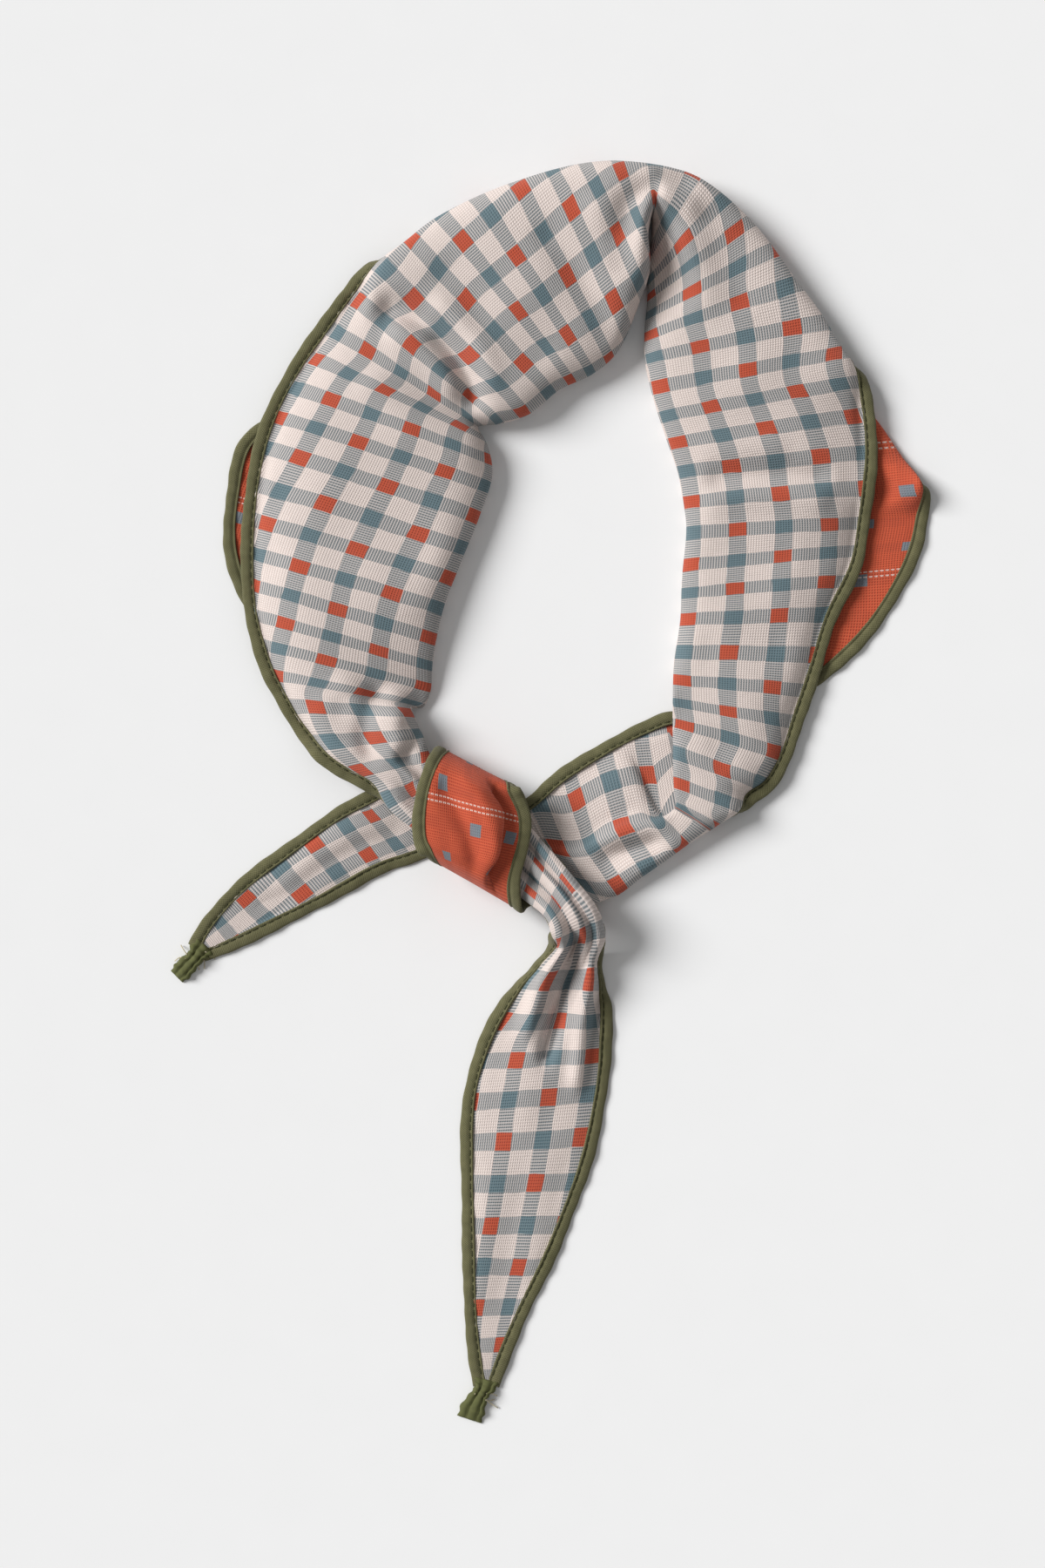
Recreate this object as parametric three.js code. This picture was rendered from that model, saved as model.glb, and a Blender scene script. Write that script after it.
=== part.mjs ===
import * as THREE from 'three';

// A long, pointed neckerchief. It is folded lengthwise, laid in a ring and tied in a half knot.
// The ring lies on z = 0. Seen from above, the knot and the two tails point to -y.

// Driving dimensions, in millimetres.
const PLAN_UNIT = 0.3; // one unit of the plan coordinates in the tables below
const CLOTH_THICKNESS = 1;
const TAPE_WIDTH = 5.2;
const TAPE_THICKNESS = 1.8;
const SEAM_GAP = 0.8; // between the cloth and the tape sewn along it
const TAPE_ROOM = TAPE_WIDTH + SEAM_GAP;

// The plan's own origin is its top left corner, with y running down.
const PLAN_CENTRE = { x: 635.5, y: 911.75 };

// How finely the cloth is divided.
const STEPS_PER_CONTROL = 2;
const LONGEST_STEP = 40;
const WIDEST_TURN = THREE.MathUtils.degToRad(45);

const COLOURS = { check: 0xd5cbc8, tape: 0x62643f, tip: 0x565a38 };
const COTTON_ROUGHNESS = 0.95;

// Cross-sections, from the first edge of the cloth to the second. Each point is
// [place, level, lift]. place 0 to 1 runs over the upper layer from its outer to its inner
// edge, and 1 to 2 goes on from there towards the second edge. level 0 is the lowest layer and
// 1 the upper surface, and lift is added to that in millimetres.
const OUTER_FORMS = {
  // One layer, its edge showing.
  flat: [[0, 1], [0.07, 1], [0.14, 1], [0.21, 1], [0.29, 1], [0.36, 1], [0.43, 1]],
  // A lengthwise pleat beside the edge, first as a step, then lapped.
  stepped: [
    [0, 1, -5], [0.18, 1, -5], [0.27, 1, -4.8], [0.29, 1, -3.4], [0.3, 1, -2],
    [0.31, 1, -0.6], [0.37, 1],
  ],
  pleated: [
    [0, 1, -5], [0.18, 1, -5], [0.31, 1, -4.9], [0.32, 1, -3.2], [0.25, 1, -2.4],
    [0.19, 1, -1.3], [0.25, 1],
  ],
  // The upper layer comes down to its edge, which shows.
  shown: [
    [0, 0, 2.9], [0.03, 0, 3], [0.07, 0.5], [0.14, 0.72], [0.24, 0.88], [0.36, 0.98], [0.5, 1],
  ],
  raised: [
    [0, 0, 5.4], [0.03, 0, 5.5], [0.07, 0.68], [0.14, 0.8], [0.24, 0.92], [0.36, 0.99], [0.5, 1],
  ],
  // The edge on its way round under the layer, pointing straight down.
  rolled: [
    [0.02, 0, 7], [0.02, 0, 8.2], [0.04, 0.85], [0.09, 0.94], [0.2, 0.99], [0.34, 1],
    [0.5, 1],
  ],
  turning: [
    [0.11, 0, 5.5], [0.05, 0, 5.9], [0.01, 0, 7], [0.01, 0.72], [0.07, 0.9], [0.27, 1],
    [0.5, 1],
  ],
  // The edge turned under.
  tucked: [
    [0.24, 0, 5.3], [0.13, 0, 5.3], [0.03, 0, 5.8], [0, 0.62], [0.05, 0.86], [0.25, 1], [0.5, 1],
  ],
  hemmed: [
    [0.13, 0, 0.4], [0.06, 0, 0.7], [0.01, 0, 1.8], [0, 0.5], [0.08, 0.82], [0.26, 0.97],
    [0.5, 1],
  ],
  curled: [
    [0.02, 0, 7], [0.02, 0, 8.2], [0.06, 0, 8.9], [0.14, 0, 8.8], [0.26, 0, 7.2], [0.38, 0, 5.2],
    [0.5, 1],
  ],
  // Hanging down at the side of soft lengthwise pleats where the cloth is gathered.
  gathered: [
    [0.02, 0, 5.9], [0, 0, 7.2], [0.05, 0.9], [0.16, 1], [0.27, 0.94], [0.38, 0.9],
    [0.48, 0.97],
  ],
  spreading: [
    [0, 0, 1.4], [0.05, 0, 3], [0.11, 0.66], [0.19, 0.96], [0.29, 0.86], [0.39, 0.76],
    [0.48, 0.96],
  ],
  fanned: [
    [0, 1], [0.07, 1], [0.14, 1, 0.2], [0.21, 1, 1], [0.29, 1, 0.4], [0.37, 1, -0.6],
    [0.45, 1, 0.4],
  ],
};
const INNER_FORMS = {
  flat: [
    [0.5, 1], [0.57, 1], [0.64, 1], [0.71, 1], [0.79, 1], [0.86, 1], [0.93, 1], [1, 1],
  ],
  // Folded under, the second edge lying flat.
  under: [
    [0.74, 1], [0.92, 0.88], [1, 0.45], [1.04, 0.03], [1.75, 0], [1.88, 0], [1.95, 0], [2, 0],
  ],
  // Folded under, with the second edge turned back under that layer.
  turned: [
    [0.74, 1], [0.93, 0.87], [1, 0.45], [1.04, 0.05], [1.6, 0, 2.8], [1.78, 0, 3.4],
    [1.82, 0, 1.9], [1.77, 0, 0.4],
  ],
  flap: [
    [0.74, 1], [0.92, 0.88], [1, 0.45], [1.04, 0.03], [1.72, 0, 2], [1.95, 0, 3.3],
    [2, 0, 1.9], [1.95, 0, 0.4],
  ],
  // The second edge on its way round, pointing straight down.
  standing: [
    [0.74, 1], [0.92, 0.88], [1, 0.45], [1.04, 0.03], [1.84, 0, 1], [1.94, 0, 5.6],
    [1.995, 0, 7.3], [2, 0, 5.9],
  ],
  hanging: [
    [0.74, 1], [0.94, 0.86], [1, 0.45], [1.04, 0.05], [1.7, 0, 1.2], [1.92, 0, 5.6],
    [1.99, 0, 7.3], [2, 0, 5.9],
  ],
  // The lower arm: a ridge, then one layer to the second edge.
  ridged: [
    [0.75, 1], [1, 0.94], [1.06, 0.72], [1.15, 0.52], [1.35, 0.48], [1.6, 0.38], [1.86, 0.1],
    [2, 0],
  ],
  // The ridge as a wall, which becomes the inner fold of the ring.
  walled: [
    [0.75, 1], [0.95, 0.96], [1, 0.75], [1, 0.56], [1.01, 0.42], [1.03, 0.3], [1.09, 0.2],
    [2, 0],
  ],
  // Folded under and back again, so the layer to the second edge is the lowest.
  lapped: [
    [0.78, 1], [0.96, 0.96], [1, 0, 8.2], [1.1, 0, 6.9], [1.8, 0, 6.8], [1.98, 0, 6], [2, 0, 4.4],
    [3, 0],
  ],
  ending: [
    [0.76, 1], [0.95, 0.94], [1, 0.78], [1.06, 0, 6.4], [1.6, 0, 6.2], [1.88, 0, 6.9],
    [1.98, 0, 7.1], [2, 0, 5.9],
  ],
  lifted: [
    [0.74, 1], [0.92, 0.9], [1, 0, 6.4], [1.05, 0, 4.6], [1.35, 0, 4.4], [1.65, 0, 3],
    [1.88, 0, 0.6], [2, 0],
  ],
  // The layer underneath running out, until the second edge hangs below the fold.
  closing: [
    [0.7, 1], [0.84, 0.97], [0.95, 0.86], [1, 0.64], [1.01, 0.42], [1.04, 0.26], [1.09, 0, 2.5],
    [1.14, 0, 2.1],
  ],
  folded: [
    [0.66, 1], [0.78, 0.99], [0.88, 0.96], [0.95, 0.9], [0.99, 0.8], [1, 0.7], [0.98, 0, 6.6],
    [0.94, 0, 5.6],
  ],
  gathered: [
    [0.58, 1], [0.68, 0.94], [0.76, 0.92], [0.84, 0.97], [0.9, 0.99], [0.97, 0.88],
    [1, 0, 7.2], [0.98, 0, 5.9],
  ],
  spreading: [
    [0.58, 1], [0.68, 0.82], [0.76, 0.74], [0.83, 0.88], [0.89, 0.92], [0.93, 0.66],
    [0.97, 0, 3], [1, 0, 1.4],
  ],
  fanned: [
    [0.53, 1, 0.8], [0.6, 1, 0.2], [0.67, 1, -0.6], [0.74, 1, 0], [0.81, 1, 0.8],
    [0.87, 1, 0.2], [0.94, 1], [1, 1],
  ],
};

// The cloth from the tip of the left tail to the tip of the down tail.
// Seen along the way, the outer edge is on the right and the inner edge on the left.
// outer, inner and second are plan positions. low, crown and rim are the heights of the lowest
// layer, of the upper surface and of its inner edge, in millimetres. Where the cloth turns back
// once more on its way to the second edge, pleat is that turn, with the second edge at place 3.
const COLUMNS = [
  'outerForm', 'innerForm', 'outer', 'inner', 'second', 'low', 'crown', 'rim', 'pleat',
];
const STATIONS = [
  // Left tail.
  ['flat', 'flat', [262, 1094], [233, 1056], null, 0.5, 0.9, 0.9],
  ['flat', 'flat', [316, 1068], [267, 1016], null, 0.5, 0.9, 0.9],
  ['flat', 'flat', [373, 1040], [318, 976], null, 0.5, 2.2, 0.9],
  ['flat', 'flat', [440, 1003], [383, 929], null, 0.5, 2.4, 0.9],
  ['flat', 'flat', [497, 981], [427, 906], null, 0.5, 1.2, 0.9],
  ['flat', 'flat', [542, 940], [470, 878], null, 0.5, 0.9, 0.9],
  // Up and over the gathered left arm.
  ['flat', 'flat', [572, 918], [491, 870], null, 1.8, 1.8, 1.8],
  ['flat', 'flat', [591, 904], [503, 858], null, 10, 10, 10],
  ['flat', 'flat', [595, 910], [496, 864], null, 16.5, 16.5, 16.5],
  ['stepped', 'flat', [601, 921], [488, 880], null, 11, 21, 20.4],
  ['pleated', 'flat', [609, 940], [480, 905], null, 11, 21.4, 20.6],
  ['pleated', 'flat', [609, 966], [476, 936], null, 11, 21.4, 20.6],
  ['pleated', 'flat', [602, 992], [478, 961], null, 11, 21.4, 20.6],
  ['stepped', 'flat', [596, 1018], [487, 974], null, 11, 21, 20.6],
  ['flat', 'flat', [599, 1044], [498, 985], null, 10.5, 10.5, 10.5],
  ['flat', 'flat', [611, 1038], [514, 974], null, 1.8, 1.8, 1.8],
  // Lower right arm.
  ['flat', 'flat', [640, 1024], [552, 946], null, 0.5, 0.9, 0.9],
  ['curled', 'ridged', [674, 1037], [634, 976], [604, 916], 0.5, 4, 3.6],
  ['hemmed', 'ridged', [704, 1028], [668, 976], [640, 886], 0.5, 6, 5],
  ['hemmed', 'ridged', [735, 1006], [702, 955], [676, 862], 0.5, 8, 7.5],
  ['hemmed', 'ridged', [765, 985], [736, 943], [712, 841], 0.5, 9, 8.5],
  ['hemmed', 'walled', [790, 967], [760, 938], [742, 827], 0.5, 9.5, 9],
  ['hemmed', 'lapped', [818, 949], [776, 926], [766, 818], 0.5, 10, 9.5, [789, 930]],
  ['rolled', 'lapped', [846, 932], [774, 904], [784, 818], 0.5, 10.5, 10, [803, 900]],
  ['shown', 'lapped', [870, 916], [773, 882], [804, 824], 0.5, 10.5, 10, [818, 864]],
  ['shown', 'ending', [890, 902], [773, 860], [826, 842], 0.5, 10.8, 10.4],
  ['shown', 'lifted', [908, 872], [773, 832], [874, 812], 0.5, 10, 9],
  // Right side of the ring.
  ['shown', 'lifted', [925, 820], [773, 800], [922, 792], 0.5, 9, 8],
  ['shown', 'under', [943, 766], [775, 760], [958, 768], 0.5, 9, 8],
  ['shown', 'under', [962, 705], [782, 712], [1014, 710], 0.5, 9, 8],
  ['shown', 'under', [990, 645], [784, 664], [1054, 638], 0.5, 9, 8],
  ['shown', 'under', [999, 594], [789, 606], [1066, 592], 0.5, 9.5, 8.5],
  ['raised', 'standing', [1003, 556], [785, 575], [1056, 560], 0.5, 9.5, 8.5],
  ['raised', 'flap', [1006, 520], [779, 543], [1034, 526], 0.5, 10, 8],
  ['raised', 'flap', [1002, 468], [766, 505], [998, 476], 0.5, 11, 9],
  ['rolled', 'turned', [980, 420], [752, 462], null, 0.5, 12, 9],
  ['turning', 'turned', [952, 382], [742, 420], null, 0.5, 12.5, 9],
  ['tucked', 'turned', [908, 322], [741, 384], null, 0.5, 13.5, 8],
  ['tucked', 'turned', [868, 268], [746, 345], null, 0.5, 14.5, 6.5],
  // The fold at the top, where the ring bends sharply.
  ['tucked', 'turned', [826, 228], [757, 306], null, 0.5, 16, 5.5],
  ['tucked', 'turned', [793, 207], [763, 272], null, 0.5, 17, 7],
  ['tucked', 'turned', [768, 201], [758, 246], null, 0.5, 18, 11],
  ['tucked', 'turned', [744, 197], [747, 246], null, 0.5, 19, 16],
  ['tucked', 'turned', [722, 194], [742, 272], null, 0.5, 19.5, 18.5],
  ['tucked', 'turned', [696, 193], [744, 312], null, 0.5, 20, 19],
  ['tucked', 'turned', [660, 197], [731, 353], null, 0.5, 19, 18],
  // Left side of the ring.
  ['tucked', 'turned', [610, 210], [707, 406], null, 0.5, 18, 15],
  ['tucked', 'turned', [548, 233], [678, 431], null, 0.5, 18, 13],
  ['turning', 'turned', [485, 267], [642, 448], null, 0.5, 16, 14],
  ['rolled', 'turned', [436, 299], [606, 477], null, 0.5, 14.5, 15],
  ['shown', 'turned', [394, 333], [574, 487], null, 0.5, 13, 13],
  ['shown', 'turned', [362, 378], [548, 491], null, 0.5, 12, 10],
  ['shown', 'hanging', [336, 415], [558, 512], [384, 436], 0.5, 13, 12],
  ['shown', 'under', [312, 458], [564, 545], [338, 468], 0.5, 13, 12],
  ['shown', 'under', [294, 506], [550, 592], [278, 504], 0.5, 12.5, 12],
  ['shown', 'under', [282, 566], [530, 642], [261, 562], 0.5, 12, 12],
  ['shown', 'under', [278, 632], [508, 700], [258, 628], 0.5, 12, 12],
  ['shown', 'under', [281, 696], [496, 760], [285, 698], 0.5, 12, 9],
  ['shown', 'under', [293, 744], [493, 794], [330, 756], 0.5, 11, 5.5],
  // A small notch where the left arm starts to gather.
  ['shown', 'under', [303, 772], [485, 811], [352, 784], 0.5, 11, 4.5],
  ['shown', 'under', [313, 793], [473, 812], [366, 802], 0.5, 12, 9],
  ['shown', 'under', [326, 818], [475, 824], [404, 824], 0.5, 13, 14],
  ['shown', 'closing', [344, 845], [481, 838], null, 0.5, 13.5, 13.5],
  ['raised', 'folded', [362, 867], [487, 850], null, 2.4, 13, 12.8],
  // Through the knot.
  ['gathered', 'gathered', [388, 886], [493, 866], null, 3.2, 12.6, 12.4],
  ['gathered', 'gathered', [416, 903], [501, 881], null, 3.4, 12.8, 12.4],
  ['gathered', 'gathered', [452, 931], [518, 893], null, 3.4, 12.8, 12.4],
  ['gathered', 'gathered', [503, 966], [548, 908], null, 3.4, 12.8, 12.4],
  ['gathered', 'gathered', [560, 1002], [590, 932], null, 3.4, 12.8, 12.4],
  ['gathered', 'gathered', [604, 1032], [622, 966], null, 3.6, 13, 12.6],
  ['gathered', 'gathered', [628, 1052], [655, 1004], null, 10, 19.4, 19],
  // Down tail.
  ['gathered', 'gathered', [634, 1070], [684, 1042], null, 11, 20.4, 20],
  ['gathered', 'gathered', [625, 1090], [693, 1074], null, 5.6, 15, 14.6],
  ['gathered', 'gathered', [607, 1110], [698, 1102], null, 1.4, 10.8, 10.4],
  ['spreading', 'spreading', [588, 1130], [701, 1130], null, 0.5, 7.5, 7],
  ['fanned', 'fanned', [569, 1158], [704, 1160], null, 0.5, 5, 0.9],
  ['flat', 'flat', [550, 1196], [703, 1190], null, 0.5, 4.5, 0.9],
  ['flat', 'flat', [532, 1256], [699, 1244], null, 0.5, 3.6, 0.9],
  ['flat', 'flat', [529, 1340], [679, 1336], null, 0.5, 3, 0.9],
  ['flat', 'flat', [531, 1430], [643, 1430], null, 0.5, 2.2, 0.9],
  ['flat', 'flat', [533, 1510], [606, 1508], null, 0.5, 0.9, 0.9],
  ['flat', 'flat', [538, 1556], [586, 1554], null, 0.5, 0.9, 0.9],
];

// The ends of the two tapes, folded up together at each tip of the cloth.
// Each row is [centre on the plan, half width in plan units, height in millimetres].
const TIPS = {
  tip_left: [
    [[240, 1080], 15, 2],
    [[232, 1090], 13, 3],
    [[225, 1098], 9, 4],
    [[217, 1106], 10, 3],
    [[209, 1115], 11, 2.6],
    [[204, 1121], 7, 1.8],
  ],
  tip_down: [
    [[561, 1562], 20, 2],
    [[559, 1578], 16, 2.6],
    [[553, 1595], 9, 3.8],
    [[549, 1604], 10, 3],
    [[542, 1617], 14, 2.6],
    [[539, 1629], 13, 1.8],
  ],
};
// Across a tip: place from its right edge at -1 to its left at 1, and share of its height.
const TIP_SECTION = [
  [-1, 0.45], [-0.55, 1], [0, 0.7], [0.55, 1], [1, 0.45],
  [0.85, 0], [0.4, 0], [0, 0], [-0.4, 0], [-0.85, 0],
];

// Forms in which the tape lies outside the cloth, so the cloth ends a tape's width sooner.
const OUTER_TAPE_SHOWS = new Set([
  'flat', 'stepped', 'pleated', 'shown', 'raised', 'spreading', 'fanned',
]);
const INNER_TAPE_SHOWS = new Set([
  'flat', 'under', 'ridged', 'walled', 'lapped', 'lifted', 'spreading', 'fanned',
]);

function onPlan([x, y]) {
  return new THREE.Vector3((x - PLAN_CENTRE.x) * PLAN_UNIT, (PLAN_CENTRE.y - y) * PLAN_UNIT, 0);
}

function named(row) {
  return Object.fromEntries(COLUMNS.map((column, index) => [column, row[index]]));
}

// Height of the upper surface: the crown over the outer half, easing to the rim.
// One flat layer has the rim at both its edges and the crown in its middle.
function upperHeight(station, place) {
  const share = station.innerForm === 'flat' || station.innerForm === 'fanned'
    ? 1 - Math.sin(Math.PI * THREE.MathUtils.clamp(place, 0, 1))
    : THREE.MathUtils.smoothstep(place, 0.45, 1);
  return THREE.MathUtils.lerp(station.crown, station.rim, share);
}

// The control points of one cross-section, from the first edge of the cloth to the second.
function sectionPoints(row) {
  const station = named(row);
  const outer = onPlan(station.outer);
  const inner = onPlan(station.inner);
  const second = onPlan(station.second ?? station.outer);
  const pleat = onPlan(station.pleat ?? station.second ?? station.outer);
  const across = inner.clone().sub(outer).normalize();
  if (OUTER_TAPE_SHOWS.has(station.outerForm)) outer.addScaledVector(across, TAPE_ROOM);
  if (INNER_TAPE_SHOWS.has(station.innerForm)) {
    const towards = station.pleat ? pleat : inner;
    if (station.second) second.addScaledVector(towards.clone().sub(second).normalize(), TAPE_ROOM);
    else inner.addScaledVector(across, -TAPE_ROOM);
  }
  const corners = station.pleat ? [outer, inner, pleat, second] : [outer, inner, second];
  const form = [...OUTER_FORMS[station.outerForm], ...INNER_FORMS[station.innerForm]];
  return form.map(([place, level, lift = 0]) => {
    const from = Math.min(Math.floor(place), corners.length - 2);
    const point = corners[from].clone().lerp(corners[from + 1], place - from);
    point.z = THREE.MathUtils.lerp(station.low, upperHeight(station, place), level) + lift;
    return point;
  });
}

function smoothCurve(points) {
  return new THREE.CatmullRomCurve3(points, false, 'centripetal');
}

// How far an edge of the cloth turns between two cross-sections.
function turnBetween(section, next, edge, inward) {
  const before = section[inward].clone().sub(section[edge]);
  return before.angleTo(next[inward].clone().sub(next[edge]));
}

// How far along the stations each row of the finished sheet lies: closer where it turns.
function rowPositions(sections) {
  const positions = [0];
  const last = sections[0].length - 1;
  for (let i = 1; i < sections.length; i += 1) {
    const [section, next] = [sections[i - 1], sections[i]];
    const reach = Math.max(...next.map((point, k) => point.distanceTo(section[k])));
    const turn = Math.max(
      turnBetween(section, next, 0, 1),
      turnBetween(section, next, last, last - 1),
    );
    const steps = Math.max(1, Math.ceil(reach / LONGEST_STEP), Math.ceil(turn / WIDEST_TURN));
    for (let step = 1; step <= steps; step += 1) positions.push(i - 1 + step / steps);
  }
  return positions;
}

// The middle surface of the cloth: rows along it, points across it.
function clothSurface() {
  const sections = STATIONS.map(sectionPoints);
  const lengthwise = sections[0].map((_, k) => smoothCurve(sections.map((section) => section[k])));
  const last = sections.length - 1;
  return rowPositions(sections).map((position) => {
    const controls = lengthwise.map((curve) => curve.getPoint(position / last));
    const row = smoothCurve(controls).getPoints((controls.length - 1) * STEPS_PER_CONTROL);
    for (const point of row) point.z = Math.max(point.z, CLOTH_THICKNESS / 2);
    return row;
  });
}

// The way along the cloth and the way up from its check face, at one point of the surface.
function directionsAt(surface, i, j) {
  const rows = surface.length - 1;
  const columns = surface[0].length - 1;
  const along = surface[Math.min(i + 1, rows)][j].clone().sub(surface[Math.max(i - 1, 0)][j]);
  const across = surface[i][Math.min(j + 1, columns)].clone().sub(surface[i][Math.max(j - 1, 0)]);
  const up = along.clone().cross(across).normalize();
  return { along: along.normalize(), up };
}

function meshOf(name, positions, indices, colour) {
  const geometry = new THREE.BufferGeometry();
  geometry.setAttribute('position', new THREE.Float32BufferAttribute(positions, 3));
  geometry.setIndex(indices);
  geometry.computeVertexNormals();
  const material = new THREE.MeshStandardMaterial({
    color: colour, roughness: COTTON_ROUGHNESS, metalness: 0,
  });
  material.name = name;
  const mesh = new THREE.Mesh(geometry, material);
  mesh.name = name;
  return mesh;
}

// A closed tube from rings of points that all have the same number of corners.
function tubeMesh(name, rings, colour) {
  const corners = rings[0].length;
  const indices = [];
  for (let i = 0; i < rings.length - 1; i += 1) {
    for (let k = 0; k < corners; k += 1) {
      const a = i * corners + k;
      const b = i * corners + (k + 1) % corners;
      indices.push(a, b + corners, b, a, a + corners, b + corners);
    }
  }
  const end = (rings.length - 1) * corners;
  for (let k = 0; k < corners / 2 - 1; k += 1) {
    const across = corners - 1 - k;
    indices.push(k, k + 1, across - 1, k, across - 1, across);
    indices.push(end + k, end + across - 1, end + k + 1, end + k, end + across, end + across - 1);
  }
  return meshOf(name, rings.flat().flatMap((point) => point.toArray()), indices, colour);
}

// Offsets a point by a distance along a direction, never below the ground.
function offset(point, direction, distance) {
  const moved = point.clone().addScaledVector(direction, distance);
  moved.z = Math.max(moved.z, 0);
  return moved;
}

// The cloth as one closed body: each row of the surface becomes a flat ring round the layer.
function makeCloth(surface) {
  const rings = surface.map((row, i) => {
    const ups = row.map((_, j) => directionsAt(surface, i, j).up);
    const upper = row.map((point, j) => offset(point, ups[j], CLOTH_THICKNESS / 2));
    const lower = row.map((point, j) => offset(point, ups[j], -CLOTH_THICKNESS / 2));
    return [...upper, ...lower.reverse()];
  });
  return tubeMesh('cloth', rings, COLOURS.check);
}

// The tape along one edge of the cloth, in the same plane as the cloth at that edge.
function makeTape(name, surface, column, side) {
  const rings = surface.map((row, i) => {
    const { along, up } = directionsAt(surface, i, column);
    const outward = up.clone().cross(along).multiplyScalar(side);
    const near = row[column].clone().addScaledVector(outward, SEAM_GAP);
    near.z = Math.max(near.z, TAPE_THICKNESS / 2);
    const far = offset(near, outward, TAPE_WIDTH);
    far.z = Math.max(far.z, Math.abs(up.z) * TAPE_THICKNESS / 2);
    const half = TAPE_THICKNESS / 2;
    const ring = [
      offset(near, up, half), offset(far, up, half), offset(far, up, -half), offset(near, up, -half),
    ];
    return side < 0 ? ring.reverse() : ring;
  });
  return tubeMesh(name, rings, COLOURS.tape);
}

// The folded end of the tapes, as a flattened tube with a groove along its top.
function makeTip(name, rows) {
  const stations = rows.map(([centre, halfWidth, height]) => (
    { centre: onPlan(centre), halfWidth: halfWidth * PLAN_UNIT, height }
  ));
  const rings = stations.map(({ centre, halfWidth, height }, i) => {
    const before = stations[Math.max(i - 1, 0)].centre;
    const after = stations[Math.min(i + 1, stations.length - 1)].centre;
    const along = after.clone().sub(before).normalize();
    const left = new THREE.Vector3(-along.y, along.x, 0);
    return TIP_SECTION.map(([place, share]) => {
      const point = centre.clone().addScaledVector(left, place * halfWidth);
      point.z = share * height;
      return point;
    });
  });
  return tubeMesh(name, rings, COLOURS.tip);
}

const surface = clothSurface();
const part = new THREE.Group();
part.name = 'tied_neckerchief';
part.add(makeCloth(surface));
part.add(makeTape('tape_outer', surface, 0, -1));
part.add(makeTape('tape_inner', surface, surface[0].length - 1, 1));
for (const [name, rows] of Object.entries(TIPS)) part.add(makeTip(name, rows));

export default part;
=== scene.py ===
import math

import bpy
import numpy as np
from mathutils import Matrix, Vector


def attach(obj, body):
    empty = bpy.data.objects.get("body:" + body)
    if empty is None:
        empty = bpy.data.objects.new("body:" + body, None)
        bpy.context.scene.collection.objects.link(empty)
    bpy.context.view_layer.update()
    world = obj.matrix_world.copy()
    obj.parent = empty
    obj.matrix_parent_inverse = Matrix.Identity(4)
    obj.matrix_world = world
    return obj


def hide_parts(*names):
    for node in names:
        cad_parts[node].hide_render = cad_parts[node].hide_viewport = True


# A long, pointed neckerchief of checked double gauze, bound in narrow tape. It is folded
# lengthwise, laid in a ring and tied in a half knot with two free tails.

MM = 0.001
PLAN_UNIT = 0.3 * MM  # one unit of the plan coordinates in the tables below
PLAN_CENTRE = (635.5, 911.75)  # the plan's origin is its top left corner, with y running down

CLOTH_THICKNESS = 0.9 * MM
TAPE_WIDTH = 3.7 * MM  # beyond the cloth's edge
TAPE_THICKNESS = 1.6 * MM
TAPE_OVERLAP = 0.7 * MM  # how far the tape reaches over the cloth's edge
GROUND_CLEARANCE = 0.05 * MM  # every piece keeps this far above the floor

# The check's repeat on the flat cloth.
COLUMN_PITCH = 16.5 * MM
ROW_PITCH = 13.35 * MM

# How finely the cloth is divided.
FINEST_ROW = 2.4 * MM
STEPS_ACROSS = 6

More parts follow.
